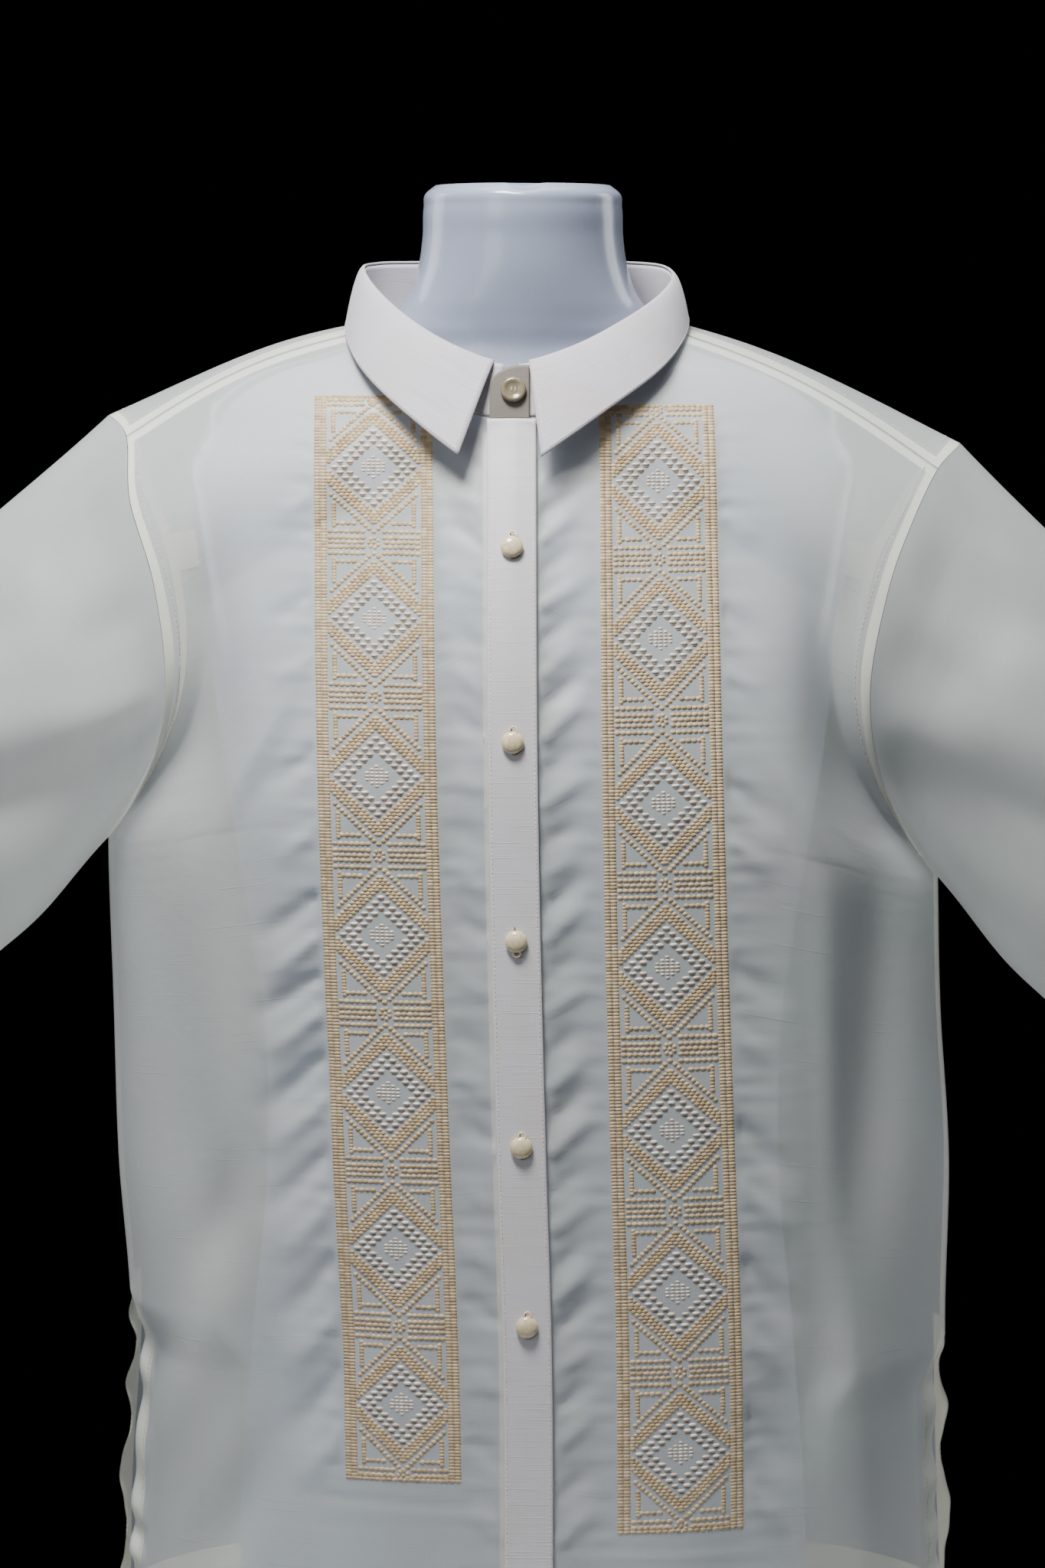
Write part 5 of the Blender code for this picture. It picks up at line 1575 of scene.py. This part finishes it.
def charted_repeat():
    """One repeat as stitches of three threads: across, up, length and turn, from the diamond's middle."""
    ground, lines = [], []
    for row in range(REPEAT_ROWS):
        up = (row - (REPEAT_ROWS - 1) / 2) * STITCH_ROW
        rise = abs(up)
        for across in BORDER_STITCHES:
            ground += both_sides(across, up, 3.3)
        low, high = ((reach - rise) / SLANT for reach in LOZENGE)
        if high > 0.7 and low < 25.0:
            ground += stitched_run(low, min(high, 26.2), up, 3.0)
        across = (LOZENGE_LINE - rise) / SLANT
        if 0 <= across < 25.4:
            lines += [(0.0, up, 2.9, 0.0)] if across < 1.0 else both_sides(across, up, 2.7)
        if CORNER_UPRIGHT[1] < rise < CORNER_UPRIGHT[2]:
            lines += both_sides(CORNER_UPRIGHT[0], up, 2.5)
    for way in (1, -1):
        lines += stitched_run(CORNER_LEVEL[1], CORNER_LEVEL[2], way * CORNER_LEVEL[0], 3.2)
        for rise, start in BARS[:2]:
            lines += stitched_run(start, 26.0, way * rise, 3.3)
    dashes, gaps = [], []
    for ring_number in range(2):
        steps = DASH_RINGS - 1.8 * ring_number
        spots = [(steps - j, j) for j in range(int(steps) + 1) if steps - j >= 1]
        spots.append((0.0, steps - 0.2 * (ring_number == 1)))
        for across, rise in spots:
            for x in {across, -across}:
                for y in {rise, -rise}:
                    dashes.append((x * DASH_STEP[0], y * DASH_STEP[1], 3.9, 0.0))
                    # Each tan mark lies just below its raised dash: partly tan thread and holes under it,
                    # partly painted shadow of the dash.
                    gaps.append((x * DASH_STEP[0] + 0.25, y * DASH_STEP[1] - 1.45, 2.4, 0.0))
    floret = [
        (x, y, 2.5 if abs(y) < 1 else 2.1, 0.0)
        for x in (-5.4, -2.7, 0.0, 2.7, 5.4)
        for y in (-5.4, -3.6, -1.8, 0.0, 1.8, 3.6, 5.4)
        if abs(x) + abs(y) < 7.5
    ]
    return ground, lines, dashes, gaps, floret


def band_places(side, across, up):
    """Points on a band's cloth, the way its rows run and the way it faces, by millimetres across and up."""
    rows, columns = 240, 25
    levels = band_levels(side, rows)
    z = np.repeat(levels[:, None], columns, axis=1)
    share = np.linspace(-1.1, 1.1, columns)[None]
    x = band_middle(side, z) + share * band_half(side, z)
    u, v = front_at(side, x.ravel(), z.ravel())
    surface = lambda a, b: body_surface(side, a, b, True)
    at, facing = surface_frame(surface, u, v, FORM_HEART)
    at, facing = at.reshape(rows + 1, columns, 3), facing.reshape(rows + 1, columns, 3)
    row = np.clip(up / (REPEAT * BAND_REPEATS) * rows, 0, rows - 1e-6)
    column = np.clip((across / BAND_HALF / 1.1 + 1) / 2 * (columns - 1), 0, columns - 1 - 1e-6)
    i, j = row.astype(int), column.astype(int)
    s, t = (row - i)[:, None], (column - j)[:, None]

    def between(grid):
        low = mixed(grid[i, j], grid[i, j + 1], t)
        high = mixed(grid[i + 1, j], grid[i + 1, j + 1], t)
        return mixed(low, high, s)

    normals = between(facing)
    normals /= np.linalg.norm(normals, axis=1, keepdims=True)
    rows_run = mixed(at[i, j + 1] - at[i, j], at[i + 1, j + 1] - at[i + 1, j], s)
    return between(at), rows_run, normals


def lay_embroidery(name, side, finish, charted, width, height, raised=0.0, crossings=False):
    """A thread's stitches in all the repeats of a band, except any that the collar's seam would cut."""
    stitches = []
    for number in range(BAND_REPEATS):
        middle = (number + 0.5) * REPEAT
        stitches += [(x, middle + y, long, turn) for x, y, long, turn in charted]
    if crossings:
        for number in range(BAND_REPEATS + 1):
            up = min(max(number * REPEAT, 3.2), BAND_REPEATS * REPEAT - 3.2)
            stitches += charted_crossing(up)
        for up in (0.9, BAND_REPEATS * REPEAT - 0.9):
            stitches += stitched_run(0.0, BAND_HALF, up, 3.3)
    across, up, long, turn = np.array(stitches).T
    at, along, facing = band_places(side, across, up)
    neck_x, _, neck_z = smooth(NECKLINE, np.linspace(0, NECK_SEAM_ANGLE, 40))
    under_neck = np.interp(np.abs(at[:, 0] - centre_x(at[:, 2])), neck_x, neck_z) - 0.004
    kept = at[:, 2] < under_neck
    along = along / np.linalg.norm(along, axis=1, keepdims=True)
    beside = np.cross(facing, along)
    along = along * np.cos(turn)[:, None] + beside * np.sin(turn)[:, None]
    jitter = np.random.default_rng(11).normal(0, 1, (2, len(long)))
    sizes = (long * (1.08 + 0.04 * jitter[0]), width * (1 + 0.07 * jitter[1]), height + 0 * long)
    sizes = np.stack(sizes, 1) / 1000
    at = at + facing * (raised / 1000)
    return lay_stitches(name, finish, at[kept], along[kept], facing[kept], sizes[kept])


def make_embroidery(look):
    beige = shared_finish("beige_thread", thread_finish, look.beige_thread, 0.50, 4.0)
    tan_and_shadow = shared_finish("tan_thread", thread_finish, look.tan_thread, 0.55, 4.0)
    pale = shared_finish("pale_silk", thread_finish, look.pale_thread, 0.36, 3.0)
    ground, lines, dashes, gaps, floret = charted_repeat()
    relief = look.relief * 1000
    for name, side in (("embroidery_left", 1), ("embroidery_right", -1)):
        base = lay_embroidery(name + "_ground", side, beige, ground, 2.15, 0.50 * relief)
        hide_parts(name)
        rest = (
            lay_embroidery(name + "_lines", side, beige, lines, 2.35, 0.50 * relief, 0.0, True),
            # The tan marks are partly thread, partly painted shadow under the raised dashes.
            lay_embroidery(name + "_gaps", side, tan_and_shadow, gaps, 0.9, 0.30 * relief),
            lay_embroidery(name + "_diamonds", side, pale, dashes, 1.75, 0.80 * relief),
            lay_embroidery(name + "_florets", side, pale, floret, 1.35, 0.40 * relief),
        )


# Buttons

def turned_button(radius, height, profile):
    """A button turned on its middle from its section, standing on its back."""
    shape = bmesh.new()
    corners = [shape.verts.new((radius * x, 0.0, height * z)) for x, z in profile]
    lines = [shape.edges.new(pair) for pair in zip(corners, corners[1:])]
    bmesh.ops.spin(
        shape,
        geom=corners + lines,
        cent=(0, 0, 0),
        axis=(0, 0, 1),
        angle=2 * math.pi,
        steps=48,
        use_merge=True,
    )
    bmesh.ops.remove_doubles(shape, verts=shape.verts, dist=1e-6)
    bmesh.ops.recalc_face_normals(shape, faces=shape.faces)
    return shape


def add_ring(shape, middle, radius, thickness, tilt):
    """A small round loop added to a shape, in a plane tilted from the button's."""
    ring_shape = bmesh.new()
    bmesh.ops.create_circle(ring_shape, segments=8, radius=thickness)
    bmesh.ops.rotate(ring_shape, verts=ring_shape.verts, matrix=Matrix.Rotation(math.pi / 2, 3, "X"))
    bmesh.ops.translate(ring_shape, verts=ring_shape.verts, vec=(radius, 0, 0))
    bmesh.ops.spin(
        ring_shape,
        geom=ring_shape.verts[:] + ring_shape.edges[:],
        cent=(0, 0, 0),
        axis=(0, 0, 1),
        angle=2 * math.pi,
        steps=24,
        use_merge=True,
    )
    bmesh.ops.recalc_face_normals(ring_shape, faces=ring_shape.faces)
    bmesh.ops.rotate(ring_shape, verts=ring_shape.verts, matrix=Matrix.Rotation(tilt, 3, "X"))
    bmesh.ops.translate(ring_shape, verts=ring_shape.verts, vec=middle)
    mesh = mesh_of(ring_shape, "ring")
    shape.from_mesh(mesh)
    bpy.data.meshes.remove(mesh)


def seat_button(name, shape, seat, way, finish):
    """Put a button on its seat, facing the way given, and let it stand for the solid of that name."""
    stand = way.to_track_quat("Z", "Y").to_matrix().to_4x4()
    lift = Vector((0.0, BOX_MIDDLE_Y, 0.0))
    stand.translation = seat + way * BUTTON_SEAT + lift
    bmesh.ops.transform(shape, matrix=stand, verts=shape.verts)
    piece = new_piece(name + "_pearl", mesh_of(shape, name), finish)
    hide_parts(name)
    return stand


DOMED = (
    (0, 1), (0.22, 0.99), (0.44, 0.94), (0.63, 0.86), (0.79, 0.74), (0.91, 0.58), (0.98, 0.43),
    (1.0, 0.32), (0.975, 0.19), (0.88, 0.08), (0.70, 0.01), (0, 0),
)
RIMMED = (
    (0, 0.66), (0.30, 0.68), (0.52, 0.74), (0.60, 0.86), (0.70, 0.98), (0.80, 1.0), (0.91, 0.90),
    (0.98, 0.68), (1.0, 0.45), (0.96, 0.18), (0.84, 0.03), (0.70, 0.0), (0, 0),
)


def make_buttons(look, cloth):
    pearl = shared_finish("button_pearl", pearl_finish, look.pearl)
    brown_and_shadow = shared_finish("brown_thread", thread_finish, look.brown_thread, 0.55, 4.0)
    over = placket_surface(PLACKET_WIDTH / 2, 0.0, LAYER + WALL / 2 - 0.0001)
    span = NECK_FRONT_Z - 0.0005 - PLACKET_BOTTOM_Z
    tails = []
    for number, z in enumerate(BUTTON_HEIGHTS, start=1):
        up = np.array([(z - PLACKET_BOTTOM_Z + rise) / span for rise in (-0.006, 0.0, 0.006)])
        low, seat, high = (Vector(at) for at in over(np.full(3, 0.5), up))
        way = Vector((1, 0, 0)).cross(high - low).normalized()
        shape = turned_button(look.button_radius, BUTTON_HEIGHT, DOMED)
        way_up = -1 if number == LOOP_BELOW else 1
        loop = (0.0004, way_up * look.button_radius * 1.06, BUTTON_HEIGHT * 0.42)
        add_ring(shape, loop, 0.0019, 0.00052, math.radians(-16 * way_up))
        stand = seat_button(f"button_{number}", shape, seat, way, pearl)
        # The brown thread ends, two below each button and one above it, are partly thread and partly painted
        # shadow under the button.
        for x, y, turn in ((0.0034, -0.0052, 0.55), (0.0012, -0.0063, 0.20), (-0.0008, 0.0066, 1.5)):
            spot = stand @ Vector((x, y, 0.0001))
            along = stand.to_3x3() @ Vector((math.cos(turn), math.sin(turn), 0.0))
            tails.append((spot - Vector((0.0, BOX_MIDDLE_Y, 0.0)), along, way))
    at, along, facing = (np.array([list(tail[i]) for tail in tails]) for i in range(3))
    lay_stitches("button_thread", brown_and_shadow, at, along, facing, (0.0034, 0.0007, 0.0004))
    make_collar_button(look, cloth)


def make_collar_button(look, cloth):
    """The collar's own button, on the tab between the leaf's front edges, sewn on with two stitches."""
    low, high = (Vector(at) for at in stand_surface(np.full(2, 1.0), np.array([0.35, 0.65])))
    seat = (low + high) / 2
    seat.x = float(centre_x(np.array(seat.z))) + COLLAR_BUTTON_SHIFT
    way = Vector((1, 0, 0)).cross(high - low).normalized()
    seat = seat + way * (COLLAR_WALL / 2 + LAP_LAYER)
    shape = turned_button(look.collar_button_radius, COLLAR_BUTTON_HEIGHT, RIMMED)
    # The collar's button takes the pearl colour at three tenths: painted shadow of the collar over it.
    painted_shadow_finish = shared_finish("collar_pearl", pearl_finish, tinted(look.pearl, 0.30))
    stand = seat_button("collar_button", shape, seat, way, painted_shadow_finish)
    spots = [stand @ Vector((x, 0.0, COLLAR_BUTTON_HEIGHT * 0.64)) for x in (-0.0011, 0.0011)]
    at = np.array([list(spot - Vector((0.0, BOX_MIDDLE_Y, 0.0))) for spot in spots])
    along = np.array([list(stand.to_3x3() @ Vector((0, 1, 0)))] * 2)
    cream = shared_finish("cream_thread", thread_finish, cloth.seam_thread, 0.45, 5.0)
    facing = np.array([list(way)] * 2)
    lay_stitches("collar_button_thread", cream, at, along, facing, (0.0030, 0.0007, 0.0004))


# The cuts of the cloth

Cut = namedtuple("Cut", "piece width length area held rests_on goes_with")


# The stage

def make_floor(look):
    shape = bmesh.new()
    bmesh.ops.create_circle(shape, cap_ends=True, segments=160, radius=look.floor_radius)
    bmesh.ops.translate(shape, verts=shape.verts, vec=(0.0, BOX_MIDDLE_Y, -0.0004))
    skirt = bmesh.ops.extrude_face_region(shape, geom=shape.faces[:])
    lowered = [item for item in skirt["geom"] if isinstance(item, bmesh.types.BMVert)]
    bmesh.ops.translate(shape, verts=lowered, vec=(0.0, 0.0, -0.012))
    bmesh.ops.recalc_face_normals(shape, faces=shape.faces)
    mesh = mesh_of(shape, "floor")
    mesh.materials.append(floor_finish("pale_floor", look.floor_colour))
    floor = bpy.data.objects.new("floor", mesh)
    bpy.context.scene.collection.objects.link(floor)


def add_light(name, place, aim, size, power, colour):
    light = bpy.data.lights.new(name, "AREA")
    light.shape = "RECTANGLE"
    light.size, light.size_y = size
    light.energy = power
    light.color = colour
    lamp = bpy.data.objects.new(name, light)
    bpy.context.scene.collection.objects.link(lamp)
    lamp.location = place
    lamp.rotation_euler = (Vector(aim) - Vector(place)).to_track_quat("-Z", "Y").to_euler()


def make_lights(look):
    add_light("key", (-0.30, -0.64, 1.95), (0.0, 0.0, 0.75), (0.5, 0.4), 49 * look.light, (1.0, 1.0, 1.0))
    add_light("fill", (-1.2, -1.8, 1.2), (0.0, 0.0, 0.5), (0.8, 1.2), 8 * look.light, (0.90, 0.95, 1.0))
    add_light("top", (0.0, 0.1, 2.3), (0.0, 0.0, 0.6), (1.4, 0.8), 15 * look.light, (0.96, 0.98, 1.0))
    add_light("left_rim", (-2.0, 1.1, 1.2), (0.0, 0.0, 0.5), (0.8, 1.6), 16 * look.light, (0.9, 0.95, 1.0))
    add_light("right_rim", (2.0, 1.1, 1.2), (0.0, 0.0, 0.5), (0.8, 1.6), 16 * look.light, (0.9, 0.95, 1.0))


def make_surroundings(look):
    """Soft grey light from all round, with a black backdrop for the eye."""
    world = bpy.data.worlds.new("studio")
    bpy.context.scene.world = world
    world.use_nodes = True
    tree = world.node_tree
    tree.nodes.clear()
    seen = tree.nodes.new("ShaderNodeLightPath")
    soft = tree.nodes.new("ShaderNodeBackground")
    soft.inputs["Color"].default_value = (0.86, 0.92, 1.0, 1.0)
    soft.inputs["Strength"].default_value = look.ambient
    black = tree.nodes.new("ShaderNodeBackground")
    black.inputs["Color"].default_value = (0.0, 0.0, 0.0, 1.0)
    both = tree.nodes.new("ShaderNodeMixShader")
    out = tree.nodes.new("ShaderNodeOutputWorld")
    tree.links.new(seen.outputs["Is Camera Ray"], both.inputs["Fac"])
    tree.links.new(soft.outputs["Background"], both.inputs[1])
    tree.links.new(black.outputs["Background"], both.inputs[2])
    tree.links.new(both.outputs["Shader"], out.inputs["Surface"])


def make_camera(look):
    lens = bpy.data.cameras.new("camera")
    lens.sensor_width = 36.0
    lens.sensor_fit = "AUTO"
    lens.lens = look.lens
    camera = bpy.data.objects.new("camera", lens)
    bpy.context.scene.collection.objects.link(camera)
    camera.location = (-0.0015, BOX_MIDDLE_Y - look.camera_distance, look.camera_height)
    camera.rotation_euler = (math.pi / 2 - look.camera_tilt, 0.0, 0.0)
    bpy.context.scene.camera = camera


# The add-on

def colour_setting(name, description, default):
    return bpy.props.FloatVectorProperty(
        name=name, description=description, default=default, subtype="COLOR", size=3, min=0.0, max=1.0
    )


def length_setting(name, description, default, low, high):
    return bpy.props.FloatProperty(
        name=name, description=description, default=default, min=low, max=high, unit="LENGTH", precision=5
    )


def share_setting(name, description, default):
    return bpy.props.FloatProperty(
        name=name, description=description, default=default, min=0.0, max=1.0, subtype="FACTOR"
    )


class BarongClothSettings(bpy.types.PropertyGroup):
    """Cloth, collar and hems."""

    cloth_colour: colour_setting("Cloth", "Colour of the sheer cloth", (0.88, 0.895, 0.875))
    lined_colour: colour_setting("Lined cloth", "Colour of the collar and placket", (0.66, 0.64, 0.665))
    seam_tint: colour_setting("Seam tint", "What a second layer does to the colour", (1.0, 0.92, 0.74))
    seam_thread: colour_setting("Seam thread", "Thread of the hems and seams", (0.62, 0.56, 0.45))
    opacity: share_setting("Opacity", "How much of the view one layer of cloth stops", 0.43)
    seam_opacity: share_setting("Seam opacity", "How much a hem's second layer stops", 0.78)
    weave: length_setting("Weave", "Distance from thread to thread", 0.0009, 0.0002, 0.005)


class BarongEmbroiderySettings(bpy.types.PropertyGroup):
    """The embroidered bands' threads."""

    beige_thread: colour_setting("Beige thread", "Most of the bands", (0.58, 0.45, 0.275))
    # The tan thread is partly real thread, partly painted shadow under the raised dashes.
    tan_thread: colour_setting("Tan thread", "The marks under the diamonds", (0.33, 0.25, 0.17))
    pale_thread: colour_setting("Pale thread", "The raised diamonds and florets", (0.88, 0.755, 0.65))
    relief: length_setting("Relief", "Height of a plain stitch at full size", 0.001, 0.0002, 0.003)


class BarongButtonSettings(bpy.types.PropertyGroup):
    """The buttons."""

    pearl: colour_setting("Pearl", "Colour of the buttons", (0.74, 0.62, 0.40))
    # The brown thread is partly thread, partly painted shadow under the buttons.
    brown_thread: colour_setting("Buttonhole thread", "Thread ends beside the buttons", (0.30, 0.20, 0.14))
    button_radius: length_setting("Button radius", "Of the five on the placket", BUTTON_RADIUS, 0.004, 0.009)
    collar_button_radius: length_setting(
        "Collar button radius", "Of the one on the collar", COLLAR_BUTTON_RADIUS, 0.004, 0.009
    )


class BarongStageSettings(bpy.types.PropertyGroup):
    """The dress form's colour, the floor, lights and camera."""

    form_colour: colour_setting("Dress form", "Colour of the form's lacquer", (0.30, 0.33, 0.42))
    floor_colour: colour_setting("Floor", "Colour of the floor", (0.72, 0.73, 0.74))
    floor_radius: length_setting("Floor radius", "Half the floor's width", 0.36, 0.2, 2.0)
    light: share_setting("Light", "Strength of the lamps", 1.0)
    ambient: share_setting("Ambient", "Strength of the light from all round", 0.12)
    camera_distance: length_setting("Camera distance", "In front of the shirt", 2.2, 0.5, 10.0)
    camera_height: length_setting("Camera height", "Above the floor", 0.85, 0.0, 5.0)
    camera_tilt: bpy.props.FloatProperty(
        name="Camera tilt", description="Downwards", default=math.radians(6.85), subtype="ANGLE"
    )
    lens: bpy.props.FloatProperty(name="Lens", description="Focal length in millimetres", default=88.95)


class BARONG_OT_form(bpy.types.Operator):
    """Build the dress form"""

    bl_idname = "barong.form"
    bl_label = "Dress form"

    def execute(self, context):
        make_form(context.scene.barong_stage)
        return {"FINISHED"}


class BARONG_OT_fronts(bpy.types.Operator):
    """Build the two sheer fronts"""

    bl_idname = "barong.fronts"
    bl_label = "Fronts"

    def execute(self, context):
        make_fronts(context.scene.barong_cloth)
        return {"FINISHED"}


class BARONG_OT_back(bpy.types.Operator):
    """Build the back and the yoke"""

    bl_idname = "barong.back"
    bl_label = "Back and yoke"

    def execute(self, context):
        make_back_and_yoke(context.scene.barong_cloth)
        return {"FINISHED"}


class BARONG_OT_sleeves(bpy.types.Operator):
    """Build the two short sleeves"""

    bl_idname = "barong.sleeves"
    bl_label = "Sleeves"

    def execute(self, context):
        make_sleeves(context.scene.barong_cloth)
        return {"FINISHED"}


class BARONG_OT_collar(bpy.types.Operator):
    """Build the collar's stand, leaf and tab"""

    bl_idname = "barong.collar"
    bl_label = "Collar"

    def execute(self, context):
        make_collar(context.scene.barong_cloth)
        return {"FINISHED"}


class BARONG_OT_placket(bpy.types.Operator):
    """Build the placket and the button band under it"""

    bl_idname = "barong.placket"
    bl_label = "Placket"

    def execute(self, context):
        make_placket(context.scene.barong_cloth)
        return {"FINISHED"}


class BARONG_OT_hems(bpy.types.Operator):
    """Build the hems, the seams' second layers and the sewing that shows"""

    bl_idname = "barong.hems"
    bl_label = "Hems and sewing"

    def execute(self, context):
        make_hems(context.scene.barong_cloth)
        make_sewing(context.scene.barong_cloth, context.scene.barong_embroidery)
        return {"FINISHED"}


class BARONG_OT_embroidery(bpy.types.Operator):
    """Stitch the two embroidered bands"""

    bl_idname = "barong.embroidery"
    bl_label = "Embroidery"

    def execute(self, context):
        make_embroidery(context.scene.barong_embroidery)
        return {"FINISHED"}


class BARONG_OT_buttons(bpy.types.Operator):
    """Build and sew on the six buttons"""

    bl_idname = "barong.buttons"
    bl_label = "Buttons"

    def execute(self, context):
        make_buttons(context.scene.barong_buttons, context.scene.barong_cloth)
        return {"FINISHED"}


class BARONG_OT_stage(bpy.types.Operator):
    """Set up the floor, the lights and the camera"""

    bl_idname = "barong.stage"
    bl_label = "Stage"

    def execute(self, context):
        stage = context.scene.barong_stage
        make_floor(stage)
        make_lights(stage)
        make_surroundings(stage)
        make_camera(stage)
        return {"FINISHED"}


class BARONG_PT_panel(bpy.types.Panel):
    """Everything that the shirt is built from"""

    bl_idname = "BARONG_PT_panel"
    bl_label = "Barong Tagalog Shirt"
    bl_space_type = "VIEW_3D"
    bl_region_type = "UI"
    bl_category = "Barong"

    def draw(self, context):
        for name in SETTINGS:
            box = self.layout.box()
            box.label(text=name.removeprefix("barong_").title())
            settings = getattr(context.scene, name)
            for key in settings.__annotations__:
                box.prop(settings, key)
        for operator in OPERATORS:
            self.layout.operator(operator.bl_idname)


SETTINGS = {
    "barong_cloth": BarongClothSettings,
    "barong_embroidery": BarongEmbroiderySettings,
    "barong_buttons": BarongButtonSettings,
    "barong_stage": BarongStageSettings,
}
OPERATORS = (
    BARONG_OT_form,
    BARONG_OT_fronts,
    BARONG_OT_back,
    BARONG_OT_sleeves,
    BARONG_OT_collar,
    BARONG_OT_placket,
    BARONG_OT_hems,
    BARONG_OT_embroidery,
    BARONG_OT_buttons,
    BARONG_OT_stage,
)


def register():
    for name, settings in SETTINGS.items():
        bpy.utils.register_class(settings)
        setattr(bpy.types.Scene, name, bpy.props.PointerProperty(type=settings))
    for operator in OPERATORS:
        bpy.utils.register_class(operator)
    bpy.utils.register_class(BARONG_PT_panel)


def unregister():
    bpy.utils.unregister_class(BARONG_PT_panel)
    for operator in reversed(OPERATORS):
        bpy.utils.unregister_class(operator)
    for name, settings in SETTINGS.items():
        delattr(bpy.types.Scene, name)
        bpy.utils.unregister_class(settings)


def main():
    register()
    bpy.ops.barong.form()
    bpy.ops.barong.fronts()
    bpy.ops.barong.back()
    bpy.ops.barong.sleeves()
    bpy.ops.barong.collar()
    bpy.ops.barong.placket()
    bpy.ops.barong.hems()
    bpy.ops.barong.embroidery()
    bpy.ops.barong.buttons()
    bpy.ops.barong.stage()


if __name__ == "__main__":
    main()
